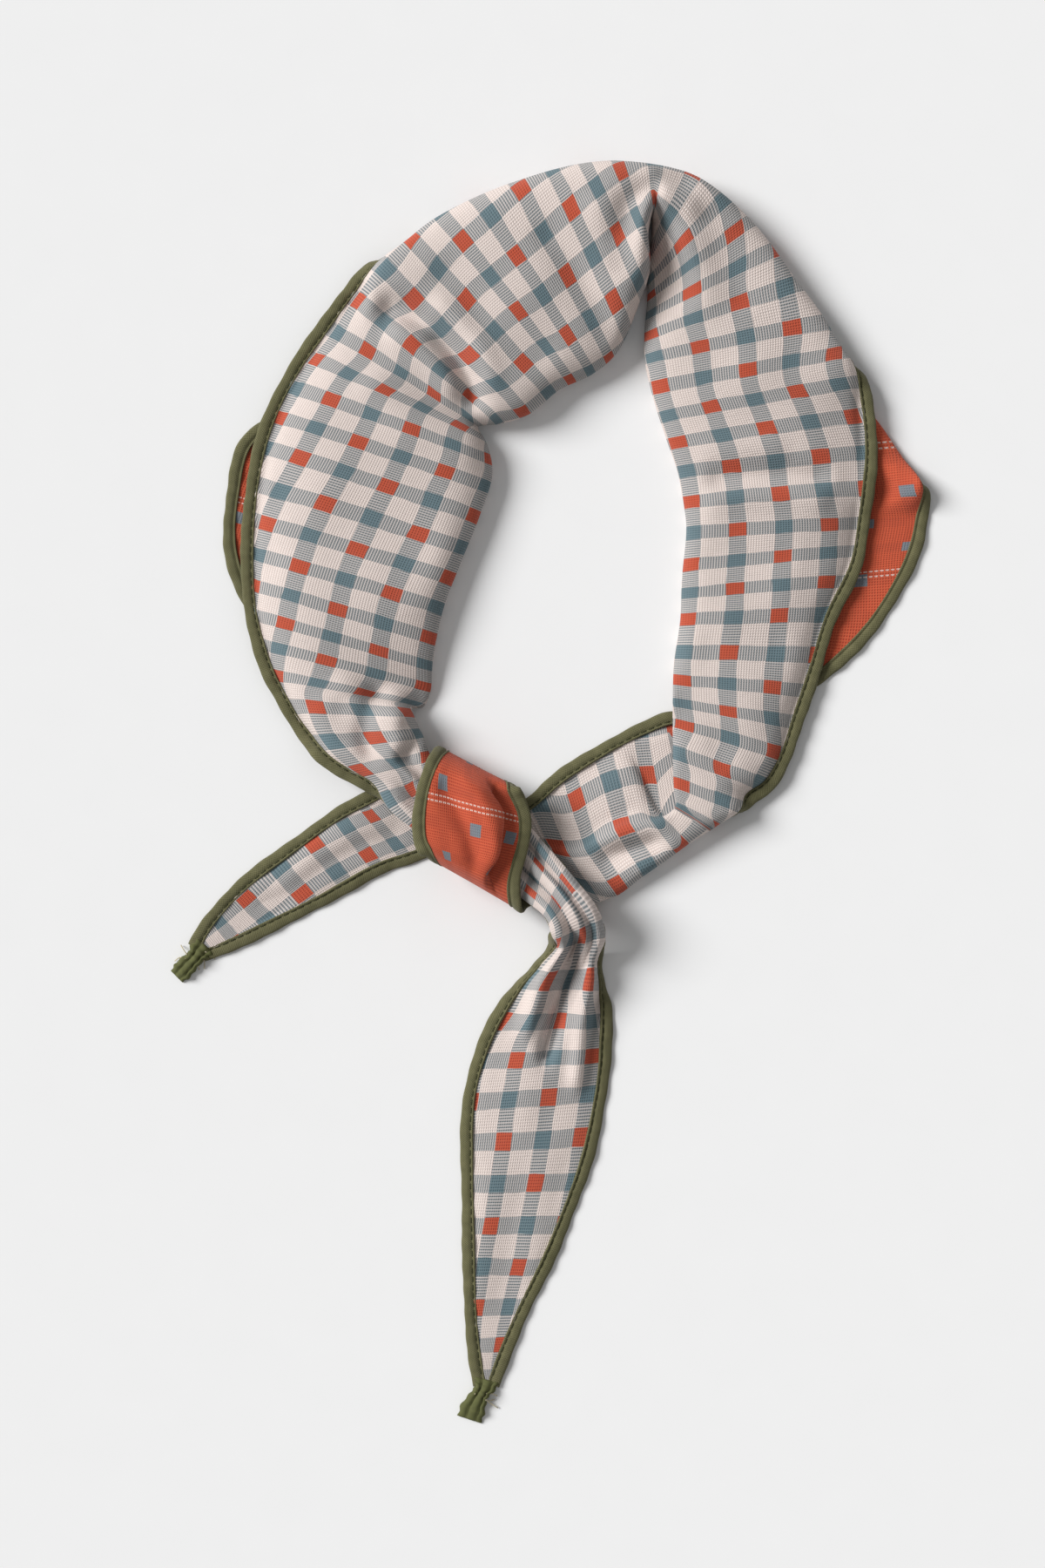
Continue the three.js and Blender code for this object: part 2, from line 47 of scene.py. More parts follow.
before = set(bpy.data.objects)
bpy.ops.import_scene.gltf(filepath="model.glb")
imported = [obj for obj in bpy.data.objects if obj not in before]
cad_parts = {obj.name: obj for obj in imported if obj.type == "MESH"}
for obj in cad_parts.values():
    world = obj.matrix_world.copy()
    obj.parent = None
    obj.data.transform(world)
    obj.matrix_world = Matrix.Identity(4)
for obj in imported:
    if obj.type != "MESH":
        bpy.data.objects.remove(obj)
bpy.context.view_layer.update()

# Cross-sections of the cloth, from its first edge to its second. Each point is
# (place, level, lift). place 0 to 1 runs over the upper layer from its outer to its inner edge,
# and 1 to 2 goes on from there towards the second edge. level 0 is the lowest layer and 1 the
# upper surface, and lift is added to that in millimetres.
OUTER_FORMS = {
    # One layer, its edge showing.
    "flat": [(0, 1), (0.07, 1), (0.14, 1), (0.21, 1), (0.29, 1), (0.36, 1), (0.43, 1)],
    # A lengthwise pleat beside the edge, first as a step, then lapped.
    "stepped": [
      (0, 1, -5), (0.18, 1, -5), (0.27, 1, -4.8), (0.29, 1, -3.4), (0.3, 1, -2),
      (0.31, 1, -0.6), (0.37, 1),
    ],
    "pleated": [
      (0, 1, -5), (0.18, 1, -5), (0.31, 1, -4.9), (0.32, 1, -3.2), (0.25, 1, -2.4),
      (0.19, 1, -1.3), (0.25, 1),
    ],
    # The upper layer comes down to its edge, which shows.
    "shown": [
      (0, 0, 2.9), (0.03, 0, 3), (0.07, 0.5), (0.14, 0.72), (0.24, 0.88), (0.36, 0.98), (0.5, 1),
    ],
    "raised": [
      (0, 0, 5.4), (0.03, 0, 5.5), (0.07, 0.68), (0.14, 0.8), (0.24, 0.92), (0.36, 0.99), (0.5, 1),
    ],
    # The edge on its way round under the layer, pointing straight down.
    "rolled": [
      (0.02, 0, 7), (0.02, 0, 8.2), (0.04, 0.85), (0.09, 0.94), (0.2, 0.99), (0.34, 1),
      (0.5, 1),
    ],
    "turning": [
      (0.11, 0, 5.5), (0.05, 0, 5.9), (0.01, 0, 7), (0.01, 0.72), (0.07, 0.9), (0.27, 1),
      (0.5, 1),
    ],
    # The edge turned under.
    "tucked": [
      (0.24, 0, 5.3), (0.13, 0, 5.3), (0.03, 0, 5.8), (0, 0.62), (0.05, 0.86), (0.25, 1), (0.5, 1),
    ],
    "hemmed": [
      (0.13, 0, 0.4), (0.06, 0, 0.7), (0.01, 0, 1.8), (0, 0.5), (0.08, 0.82), (0.26, 0.97),
      (0.5, 1),
    ],
    "curled": [
      (0.02, 0, 7), (0.02, 0, 8.2), (0.06, 0, 8.9), (0.14, 0, 8.8), (0.26, 0, 7.2), (0.38, 0, 5.2),
      (0.5, 1),
    ],
    # Hanging down at the side of soft lengthwise pleats where the cloth is gathered.
    "gathered": [
      (0.02, 0, 5.9), (0, 0, 7.2), (0.05, 0.9), (0.16, 1), (0.27, 0.82), (0.38, 0.66),
      (0.48, 0.92),
    ],
    "spreading": [
      (0, 0, 1.4), (0.05, 0, 3), (0.11, 0.66), (0.19, 0.96), (0.29, 0.86), (0.39, 0.76),
      (0.48, 0.96),
    ],
    "fanned": [
      (0, 1), (0.07, 1), (0.14, 1, 0.2), (0.21, 1, 1), (0.29, 1, 0.4), (0.37, 1, -0.6),
      (0.45, 1, 0.4),
    ],
}
INNER_FORMS = {
    "flat": [
      (0.5, 1), (0.57, 1), (0.64, 1), (0.71, 1), (0.79, 1), (0.86, 1), (0.93, 1), (1, 1),
    ],
    # Folded under, the second edge lying flat.
    "under": [
      (0.74, 1), (0.92, 0.88), (1, 0.45), (1.04, 0.03), (1.75, 0), (1.88, 0), (1.95, 0), (2, 0),
    ],
    # Folded under, with the second edge turned back under that layer.
    "turned": [
      (0.74, 1), (0.93, 0.87), (1, 0.45), (1.04, 0.05), (1.6, 0, 2.8), (1.78, 0, 3.4),
      (1.82, 0, 1.9), (1.77, 0, 0.4),
    ],
    "flap": [
      (0.74, 1), (0.92, 0.88), (1, 0.45), (1.04, 0.03), (1.72, 0, 2), (1.95, 0, 3.3),
      (2, 0, 1.9), (1.95, 0, 0.4),
    ],
    # The second edge on its way round, pointing straight down.
    "standing": [
      (0.74, 1), (0.92, 0.88), (1, 0.45), (1.04, 0.03), (1.84, 0, 1), (1.94, 0, 5.6),
      (1.995, 0, 7.3), (2, 0, 5.9),
    ],
    "hanging": [
      (0.74, 1), (0.94, 0.86), (1, 0.45), (1.04, 0.05), (1.7, 0, 1.2), (1.92, 0, 5.6),
      (1.99, 0, 7.3), (2, 0, 5.9),
    ],
    # The lower arm: a ridge, then one layer to the second edge.
    "ridged": [
      (0.75, 1), (1, 0.94), (1.06, 0.72), (1.15, 0.52), (1.35, 0.48), (1.6, 0.38), (1.86, 0.1),
      (2, 0),
    ],
    # The ridge as a wall, which becomes the inner fold of the ring.
    "walled": [
      (0.75, 1), (0.95, 0.96), (1, 0.75), (1, 0.56), (1.01, 0.42), (1.03, 0.3), (1.09, 0.2),
      (2, 0),
    ],
    # Folded under and back again, so the layer to the second edge is the lowest.
    "lapped": [
      (0.78, 1), (0.96, 0.96), (1, 0, 8.2), (1.1, 0, 6.9), (1.8, 0, 6.8), (1.98, 0, 6), (2, 0, 4.4),
      (3, 0),
    ],
    "ending": [
      (0.76, 1), (0.95, 0.94), (1, 0.78), (1.06, 0, 6.4), (1.6, 0, 6.2), (1.88, 0, 6.9),
      (1.98, 0, 7.1), (2, 0, 5.9),
    ],
    "lifted": [
      (0.74, 1), (0.92, 0.9), (1, 0, 6.4), (1.05, 0, 4.6), (1.35, 0, 4.4), (1.65, 0, 3),
      (1.88, 0, 0.6), (2, 0),
    ],
    # The layer underneath running out, until the second edge hangs below the fold.
    "closing": [
      (0.7, 1), (0.84, 0.97), (0.95, 0.86), (1, 0.64), (1.01, 0.42), (1.04, 0.26), (1.09, 0, 2.5),
      (1.14, 0, 2.1),
    ],
    "folded": [
      (0.66, 1), (0.78, 0.99), (0.88, 0.96), (0.95, 0.9), (0.99, 0.8), (1, 0.7), (0.98, 0, 6.6),
      (0.94, 0, 5.6),
    ],
    "gathered": [
      (0.58, 1), (0.68, 0.78), (0.76, 0.72), (0.84, 0.94), (0.9, 0.99), (0.97, 0.88),
      (1, 0, 7.2), (0.98, 0, 5.9),
    ],
    "spreading": [
      (0.58, 1), (0.68, 0.82), (0.76, 0.74), (0.83, 0.88), (0.89, 0.92), (0.93, 0.66),
      (0.97, 0, 3), (1, 0, 1.4),
    ],
    "fanned": [
      (0.53, 1, 0.8), (0.6, 1, 0.2), (0.67, 1, -0.6), (0.74, 1, 0), (0.81, 1, 0.8),
      (0.87, 1, 0.2), (0.94, 1), (1, 1),
    ],
}

# Which point of a form lies on the outer or the inner boundary of the upper layer.
OUTER_BOUNDARY = {
    "rolled": 2, "turning": 3, "tucked": 3, "hemmed": 3, "curled": 3, "gathered": 1,
}
INNER_BOUNDARY = {
    "flat": 7, "fanned": 7, "spreading": 6, "gathered": 6, "closing": 3, "folded": 5, "ridged": 1,
}
USUAL_INNER_BOUNDARY = 2

# The cloth from the tip of the left tail to the tip of the down tail. outer, inner and second
# are plan positions. low, crown and rim are the heights of the lowest layer, of the upper
# surface and of its inner edge, in millimetres. Where the cloth turns back once more on its way
# to the second edge, pleat is that turn. row is the row of the check, and first and last are its
# columns at the outer and the inner boundary of the upper layer.
STATION_COLUMNS = (
    "outer_form", "inner_form", "outer", "inner", "second", "low", "crown", "rim", "pleat",
    "row", "first", "last",
)
STATIONS = [
    # Left tail.
    ("flat", "flat", (238, 1103), (221, 1079), None, 0.5, 0.9, 0.9, None, -30.2, -1.6, -1.7),
    ("flat", "flat", (262, 1094), (233, 1056), None, 0.5, 0.9, 0.9, None, -29.4, -1.21, -2.09),
    ("flat", "flat", (316, 1068), (267, 1016), None, 0.5, 0.9, 0.9, None, -28, -0.95, -2.3),
    ("flat", "flat", (373, 1040), (318, 976), None, 0.5, 2.2, 0.9, None, -26.8, -0.62, -2.16),
    ("flat", "flat", (440, 1003), (383, 929), None, 0.5, 2.4, 0.9, None, -25, -0.62, -2.32),
    ("flat", "flat", (497, 981), (427, 906), None, 0.5, 1.2, 0.9, None, -23.3, -0.55, -2.42),
    ("flat", "flat", (542, 940), (470, 878), None, 0.5, 0.9, 0.9, None, -22.2, -0.3, -2.6),
    # Up and over the gathered left arm.
    ("flat", "flat", (572, 918), (491, 870), None, 1.8, 1.8, 1.8, None, -21.4, -0.15, -3.1),
    ("flat", "flat", (591, 904), (503, 858), None, 10, 10, 10, None, -21, -0.05, -3.2),
    ("flat", "flat", (595, 910), (496, 864), None, 16.5, 16.5, 16.5, None, -20.6, 0, -3.3),
    ("stepped", "flat", (601, 921), (488, 880), None, 11, 21, 20.4, None, -20.2, 0.08, -3.38),
    ("pleated", "flat", (609, 940), (480, 905), None, 11, 21.4, 20.6, None, -19.7, 0.17, -3.47),
    ("pleated", "flat", (609, 966), (476, 936), None, 11, 21.4, 20.6, None, -19, 0.3, -3.6),
    ("pleated", "flat", (602, 992), (478, 961), None, 11, 21.4, 20.6, None, -18.4, 0.4, -3.7),
    ("stepped", "flat", (596, 1018), (487, 974), None, 11, 21, 20.6, None, -17.8, 0.51, -3.81),
    ("flat", "flat", (599, 1044), (498, 985), None, 10.5, 10.5, 10.5, None, -17.3, 0.6, -3.9),
    ("flat", "flat", (611, 1038), (514, 974), None, 1.8, 1.8, 1.8, None, -16.8, 0.69, -4),
    # Lower right arm.
    ("flat", "flat", (640, 1024), (552, 946), None, 0.5, 0.9, 0.9, None, -16, 0.6, -4.1),
    ("curled", "ridged", (674, 1037), (634, 976), (604, 916), 0.5, 4, 3.6, None, -15.2, -1.5, -2.9),
    ("hemmed", "ridged", (704, 1028), (668, 976), (640, 886), 0.5, 6, 5, None, -14.3, -1.8, -2.95),
    ("hemmed", "ridged", (735, 1006), (702, 955), (676, 862), 0.5, 8, 7.5, None, -13.3, -1.84, -2.95),
    ("hemmed", "ridged", (765, 985), (736, 943), (712, 841), 0.5, 9, 8.5, None, -12.5, -1.9, -2.95),
    ("hemmed", "walled", (790, 967), (760, 938), (742, 827), 0.5, 9.5, 9, None, -11.8, -1.7, -2.9),
    ("hemmed", "lapped", (818, 949), (776, 926), (766, 818), 0.5, 10, 9.5, (789, 930), -11, 0.8, -0.2),
    ("rolled", "lapped", (846, 932), (774, 904), (784, 818), 0.5, 10.5, 10, (803, 900),
     -10.2, 1.4, -0.2),
    ("shown", "lapped", (870, 916), (773, 882), (804, 824), 0.5, 10.5, 10, (818, 864),
     -9.5, 1.75, -0.2),
    ("shown", "ending", (890, 902), (773, 860), (826, 842), 0.5, 10.8, 10.4, None, -8.9, 2.2, -0.1),
    ("shown", "lifted", (908, 872), (773, 832), (874, 812), 0.5, 10, 9, None, -8.1, 2.25, -0.25),
    # Right side of the ring.
    ("shown", "lifted", (925, 820), (773, 800), (922, 792), 0.5, 9, 8, None, -6.7, 2.65, -0.2),
    ("shown", "under", (943, 766), (775, 760), (958, 768), 0.5, 9, 8, None, -5.3, 2.9, -0.22),
    ("shown", "under", (962, 705), (782, 712), (1014, 710), 0.5, 9, 8, None, -4, 3.15, -0.2),
    ("shown", "under", (990, 645), (784, 664), (1054, 638), 0.5, 9, 8, None, -2.4, 3.6, -0.2),
    ("shown", "under", (999, 594), (789, 606), (1066, 592), 0.5, 9.5, 8.5, None, -0.8, 3.78, -0.17),
    ("raised", "standing", (1003, 556), (785, 575), (1056, 560), 0.5, 9.5, 8.5, None, 0.1, 3.97, -0.22),
    ("raised", "flap", (1006, 520), (779, 543), (1034, 526), 0.5, 10, 8, None, 1, 4.07, -0.23),
    ("raised", "flap", (1002, 468), (766, 505), (998, 476), 0.5, 11, 9, None, 2.2, 4.35, -0.27),
    ("rolled", "turned", (980, 420), (752, 462), None, 0.5, 12, 9, None, 3.6, 4.35, -0.27),
    ("turning", "turned", (952, 382), (742, 420), None, 0.5, 12.5, 9, None, 4.8, 3.85, -0.28),
    ("tucked", "turned", (908, 322), (741, 384), None, 0.5, 13.5, 8, None, 6.2, 3.3, -0.13),
    ("tucked", "turned", (868, 268), (744, 350), None, 0.5, 14.5, 6, None, 7.7, 2.6, -0.05),
    # The fold at the top, where the ring bends sharply.
    ("tucked", "turned", (826, 228), (745, 320), None, 0.5, 16, 5, None, 9.2, 2.1, 0.05),
    ("tucked", "turned", (793, 207), (747, 292), None, 0.5, 17, 6, None, 10, 2, 0.2),
    ("tucked", "turned", (768, 200), (750, 264), None, 0.5, 18.5, 7, None, 10.6, 2.07, 0.3),
    ("tucked", "turned", (746, 197), (748, 246), None, 0.5, 19.5, 17, None, 11.1, 2.17, 0.3),
    ("tucked", "turned", (722, 194), (742, 272), None, 0.5, 19.5, 18.5, None, 11.6, 2.3, 0.3),
    ("tucked", "turned", (696, 193), (744, 312), None, 0.5, 20, 19, None, 12.3, 2.55, -0.3),
    ("tucked", "turned", (660, 197), (731, 353), None, 0.5, 19, 18, None, 13.3, 2.85, -0.6),
    # Left side of the ring.
    ("tucked", "turned", (610, 210), (707, 406), None, 0.5, 18, 15, None, 14.6, 3.2, -1),
    ("tucked", "turned", (548, 233), (678, 431), None, 0.5, 18, 13, None, 16, 3.7, -1.1),
    ("turning", "turned", (485, 267), (642, 448), None, 0.5, 16, 14, None, 17.6, 3.95, -1.15),
    ("rolled", "turned", (436, 299), (606, 477), None, 0.5, 14.5, 15, None, 18.9, 4.2, -1.2),
    ("shown", "turned", (394, 333), (574, 487), None, 0.5, 13, 13, None, 20, 4.35, -1.25),
    ("shown", "turned", (362, 378), (548, 491), None, 0.5, 12, 10, None, 21.2, 4.4, -0.4),
    ("shown", "hanging", (336, 415), (558, 512), (384, 436), 0.5, 13, 12, None, 22.3, 4.3, -0.95),
    ("shown", "under", (312, 458), (564, 545), (338, 468), 0.5, 13, 12, None, 23.5, 4.2, -1.1),
    ("shown", "under", (294, 506), (550, 592), (278, 504), 0.5, 12.5, 12, None, 24.9, 4, -1.15),
    ("shown", "under", (282, 566), (530, 642), (261, 562), 0.5, 12, 12, None, 26.3, 3.55, -1.12),
    ("shown", "under", (278, 632), (508, 700), (258, 628), 0.5, 12, 12, None, 28, 3.2, -1.2),
    ("shown", "under", (281, 696), (496, 760), (285, 698), 0.5, 12, 9, None, 29.8, 2.85, -1.2),
    ("shown", "under", (293, 744), (493, 794), (330, 756), 0.5, 11, 5.5, None, 31.2, 2.35, -1.15),
    # A small notch where the left arm starts to gather.
    ("shown", "under", (303, 772), (485, 811), (352, 784), 0.5, 11, 4.5, None, 32, 2.1, -1.3),
    ("shown", "under", (313, 793), (473, 812), (366, 802), 0.5, 12, 9, None, 32.6, 1.9, -1.3),
    ("shown", "under", (326, 818), (475, 824), (404, 824), 0.5, 13, 14, None, 33.2, 1.75, -1.2),
    ("shown", "closing", (344, 845), (481, 838), None, 0.5, 13.5, 13.5, None, 33.8, 1.6, -1.05),
    ("raised", "folded", (362, 867), (487, 850), None, 2.4, 13, 12.8, None, 34.3, 1.45, -1.05),
    # Through the knot.
    ("raised", "gathered", (388, 886), (493, 866), None, 3.2, 12.6, 12.4, None, 34.9, 1.35, -1.05),
    ("raised", "gathered", (416, 903), (501, 881), None, 3.4, 12.8, 12.4, None, 35.5, 1.3, -1.3),
    ("gathered", "gathered", (452, 931), (518, 893), None, 3.4, 12.8, 12.4, None, 36.3, 1.2, -1.8),
    ("gathered", "gathered", (503, 966), (548, 908), None, 3.4, 12.8, 12.4, None, 37.5, 1, -2.5),
    ("gathered", "gathered", (560, 1002), (590, 932), None, 3.4, 12.8, 12.4, None, 38.9, 0.8, -3.2),
    ("gathered", "gathered", (604, 1032), (622, 966), None, 3.6, 13, 12.6, None, 39.9, 0.7, -3.5),
    ("gathered", "gathered", (628, 1052), (655, 1004), None, 10, 19.4, 19, None, 41, 0.65, -3.7),
    # Down tail.
    ("gathered", "gathered", (634, 1070), (684, 1042), None, 11, 20.4, 20, None, 41.6, 0.6, -3.7),
    ("spreading", "gathered", (625, 1090), (693, 1074), None, 5.6, 15, 14.6, None, 42.2, 0.5, -3.7),
    ("spreading", "spreading", (607, 1110), (698, 1102), None, 1.4, 10.8, 10.4, None, 42.7, 0.4, -3.65),
    ("spreading", "spreading", (588, 1130), (701, 1130), None, 0.5, 7.5, 7, None, 43.1, 0.25, -3.6),
    ("fanned", "fanned", (569, 1158), (704, 1160), None, 0.5, 5, 0.9, None, 43.7, 0.2, -3.5),
    ("flat", "flat", (550, 1196), (703, 1190), None, 0.5, 4.5, 0.9, None, 44.5, -0.05, -3.3),
    ("flat", "flat", (532, 1256), (699, 1244), None, 0.5, 3.6, 0.9, None, 45.8, -0.05, -3.25),
    ("flat", "flat", (529, 1340), (679, 1336), None, 0.5, 3, 0.9, None, 47.6, -0.25, -3.1),
    ("flat", "flat", (531, 1430), (643, 1430), None, 0.5, 2.2, 0.9, None, 49.5, -0.6, -2.75),
    ("flat", "flat", (533, 1510), (606, 1508), None, 0.5, 0.9, 0.9, None, 51.2, -0.95, -2.35),
    ("flat", "flat", (538, 1556), (586, 1554), None, 0.5, 0.9, 0.9, None, 52.3, -1.2, -2.1),
    ("flat", "flat", (544, 1592), (573, 1590), None, 0.5, 0.9, 0.9, None, 53.4, -1.6, -1.7),
]
LAPPED_SECOND_COLUMN = -5.05
LAP_STATION = 22  # soon before the next one, the right side of the ring starts to lie on top
LAP_SHARE = 0.97

# Forms in which the tape lies outside the cloth, so the cloth ends a tape's width sooner.
OUTER_TAPE_SHOWS = {
    "flat", "stepped", "pleated", "shown", "raised", "spreading", "fanned",
}
INNER_TAPE_SHOWS = {
    "flat", "under", "ridged", "walled", "lapped", "lifted", "spreading", "fanned",
}


def on_plan(point):
    """A plan position as x and y in metres."""
    x, y = point
    return np.array([(x - PLAN_CENTRE[0]) * PLAN_UNIT, (PLAN_CENTRE[1] - y) * PLAN_UNIT])


def unit(vector):
    return vector / np.linalg.norm(vector)


def smoothstep(x, low=0.0, high=1.0):
    t = np.clip((x - low) / (high - low), 0, 1)
    return t * t * (3 - 2 * t)


def upper_height(station, place):
    """Height of the upper surface: the crown over the outer half, easing to the rim."""
    if station["inner_form"] in ("flat", "fanned"):
        share = 1 - math.sin(math.pi * min(max(place, 0), 1))
    else:
        share = smoothstep(place, 0.45, 1)
    return station["crown"] + (station["rim"] - station["crown"]) * share


def section_points(station):
    """One cross-section: rows of x, y, z, column of the check, row of the check."""
    outer = on_plan(station["outer"])
    inner = on_plan(station["inner"])
    second = on_plan(station["second"] or station["outer"])
    pleat = on_plan(station["pleat"] or station["second"] or station["outer"])
    across = unit(inner - outer)
    if station["outer_form"] in OUTER_TAPE_SHOWS:
        outer = outer + across * TAPE_WIDTH
    if station["inner_form"] in INNER_TAPE_SHOWS:
        towards = pleat if station["pleat"] else inner
        if station["second"]:
            second = second + unit(towards - second) * TAPE_WIDTH
        else:
            inner = inner - across * TAPE_WIDTH
    corners = [outer, inner, pleat, second] if station["pleat"] else [outer, inner, second]
    points = []
    form = OUTER_FORMS[station["outer_form"]] + INNER_FORMS[station["inner_form"]]
    for place, level, *lift in form:
        start = min(int(place), len(corners) - 2)
        share = place - start
        x, y = corners[start] * (1 - share) + corners[start + 1] * share
        top = upper_height(station, place)
        z = station["low"] + (top - station["low"]) * level + sum(lift)
        points.append((x, y, z * MM))
    points = np.array(points)
    chart = check_columns(station, points)
    rows = np.full(len(points), station["row"])
    return np.column_stack([points, chart, rows])


def check_columns(station, points):
    """The column of the check at each point, from the distance walked across the cloth."""
    first = OUTER_BOUNDARY.get(station["outer_form"], 0)
    outer_points = len(OUTER_FORMS["flat"])
    last = outer_points + INNER_BOUNDARY.get(station["inner_form"], USUAL_INNER_BOUNDARY)
    steps = np.linalg.norm(np.diff(points, axis=0), axis=1)
    walked = np.concatenate([[0], np.cumsum(steps)])
    share = (walked - walked[first]) / (walked[last] - walked[first])
    chart = station["first"] + (station["last"] - station["first"]) * share
    before = station["first"] + (walked[first] - walked) / COLUMN_PITCH
    after = station["last"] - (walked - walked[last]) / COLUMN_PITCH
    chart = np.where(share < 0, before, np.where(share > 1, after, chart))
    if station["pleat"]:
        bottom = len(points) - 2
        chart[-1] = LAPPED_SECOND_COLUMN
        chart[bottom] = LAPPED_SECOND_COLUMN + (walked[-1] - walked[bottom]) / COLUMN_PITCH
        chart[last:bottom] = np.linspace(chart[last], chart[bottom], bottom - last + 1)[:-1]
    return chart


def curve_through(points, positions):
    """Centripetal curve through the points (count, ..., values) at positions 0 to count - 1.

    Distances are measured on the first three values."""
    points = np.asarray(points, float)
    before = 2 * points[:1] - points[1:2]
    after = 2 * points[-1:] - points[-2:-1]
    padded = np.concatenate([before, points, after])
    gaps = np.linalg.norm(np.diff(padded[..., :3], axis=0), axis=-1, keepdims=True)
    gaps = np.sqrt(np.maximum(gaps, 1e-6))
    start = np.minimum(np.floor(positions).astype(int), len(points) - 2)
    t = (positions - start).reshape((-1,) + (1,) * (points.ndim - 1))
    p0, p1, p2, p3 = (padded[start + k] for k in range(4))
    d0, d1, d2 = (gaps[start + k] for k in range(3))
    m1 = ((p1 - p0) / d0 - (p2 - p0) / (d0 + d1) + (p2 - p1) / d1) * d1
    m2 = ((p2 - p1) / d1 - (p3 - p1) / (d1 + d2) + (p3 - p2) / d2) * d1
    a = 2 * p1 - 2 * p2 + m1 + m2
    b = -3 * p1 + 3 * p2 - 2 * m1 - m2
    return ((a * t + b) * t + m1) * t + p1


def break_check_at_lap(surface, positions):
    def at_station(number):
        return surface[np.argmin(np.abs(positions - number)), :, 3:5].copy()

    before, first, second, after = (at_station(LAP_STATION + k) for k in (-1, 0, 1, 2))
    for i, position in enumerate(positions):
        share = position - LAP_STATION
        if 0 < share < LAP_SHARE:
            surface[i, :, 3:5] = first + (first - before) * share
        elif LAP_SHARE <= share < 1:
            surface[i, :, 3:5] = second + (after - second) * (share - 1)


def cloth_surface():
    """The middle surface: (rows, columns, 5) of x, y, z, check column, check row.

    Also returns the station number of each row."""
    stations = [dict(zip(STATION_COLUMNS, row)) for row in STATIONS]
    sections = np.array([section_points(station) for station in stations])
    positions = [0.0]
    for i in range(1, len(sections)):
        reach = np.linalg.norm(sections[i, :, :3] - sections[i - 1, :, :3], axis=1).max()
        steps = int(np.clip(math.ceil(reach / FINEST_ROW), 3, 9))
        positions += [i - 1 + step / steps for step in range(1, steps + 1)]
    positions = np.array(positions)
    rows = curve_through(sections, positions)
    points = rows.shape[1]
    across = np.linspace(0, points - 1, (points - 1) * STEPS_ACROSS + 1)
    surface = curve_through(rows.transpose(1, 0, 2), across).transpose(1, 0, 2)
    break_check_at_lap(surface, positions)
    return surface, positions


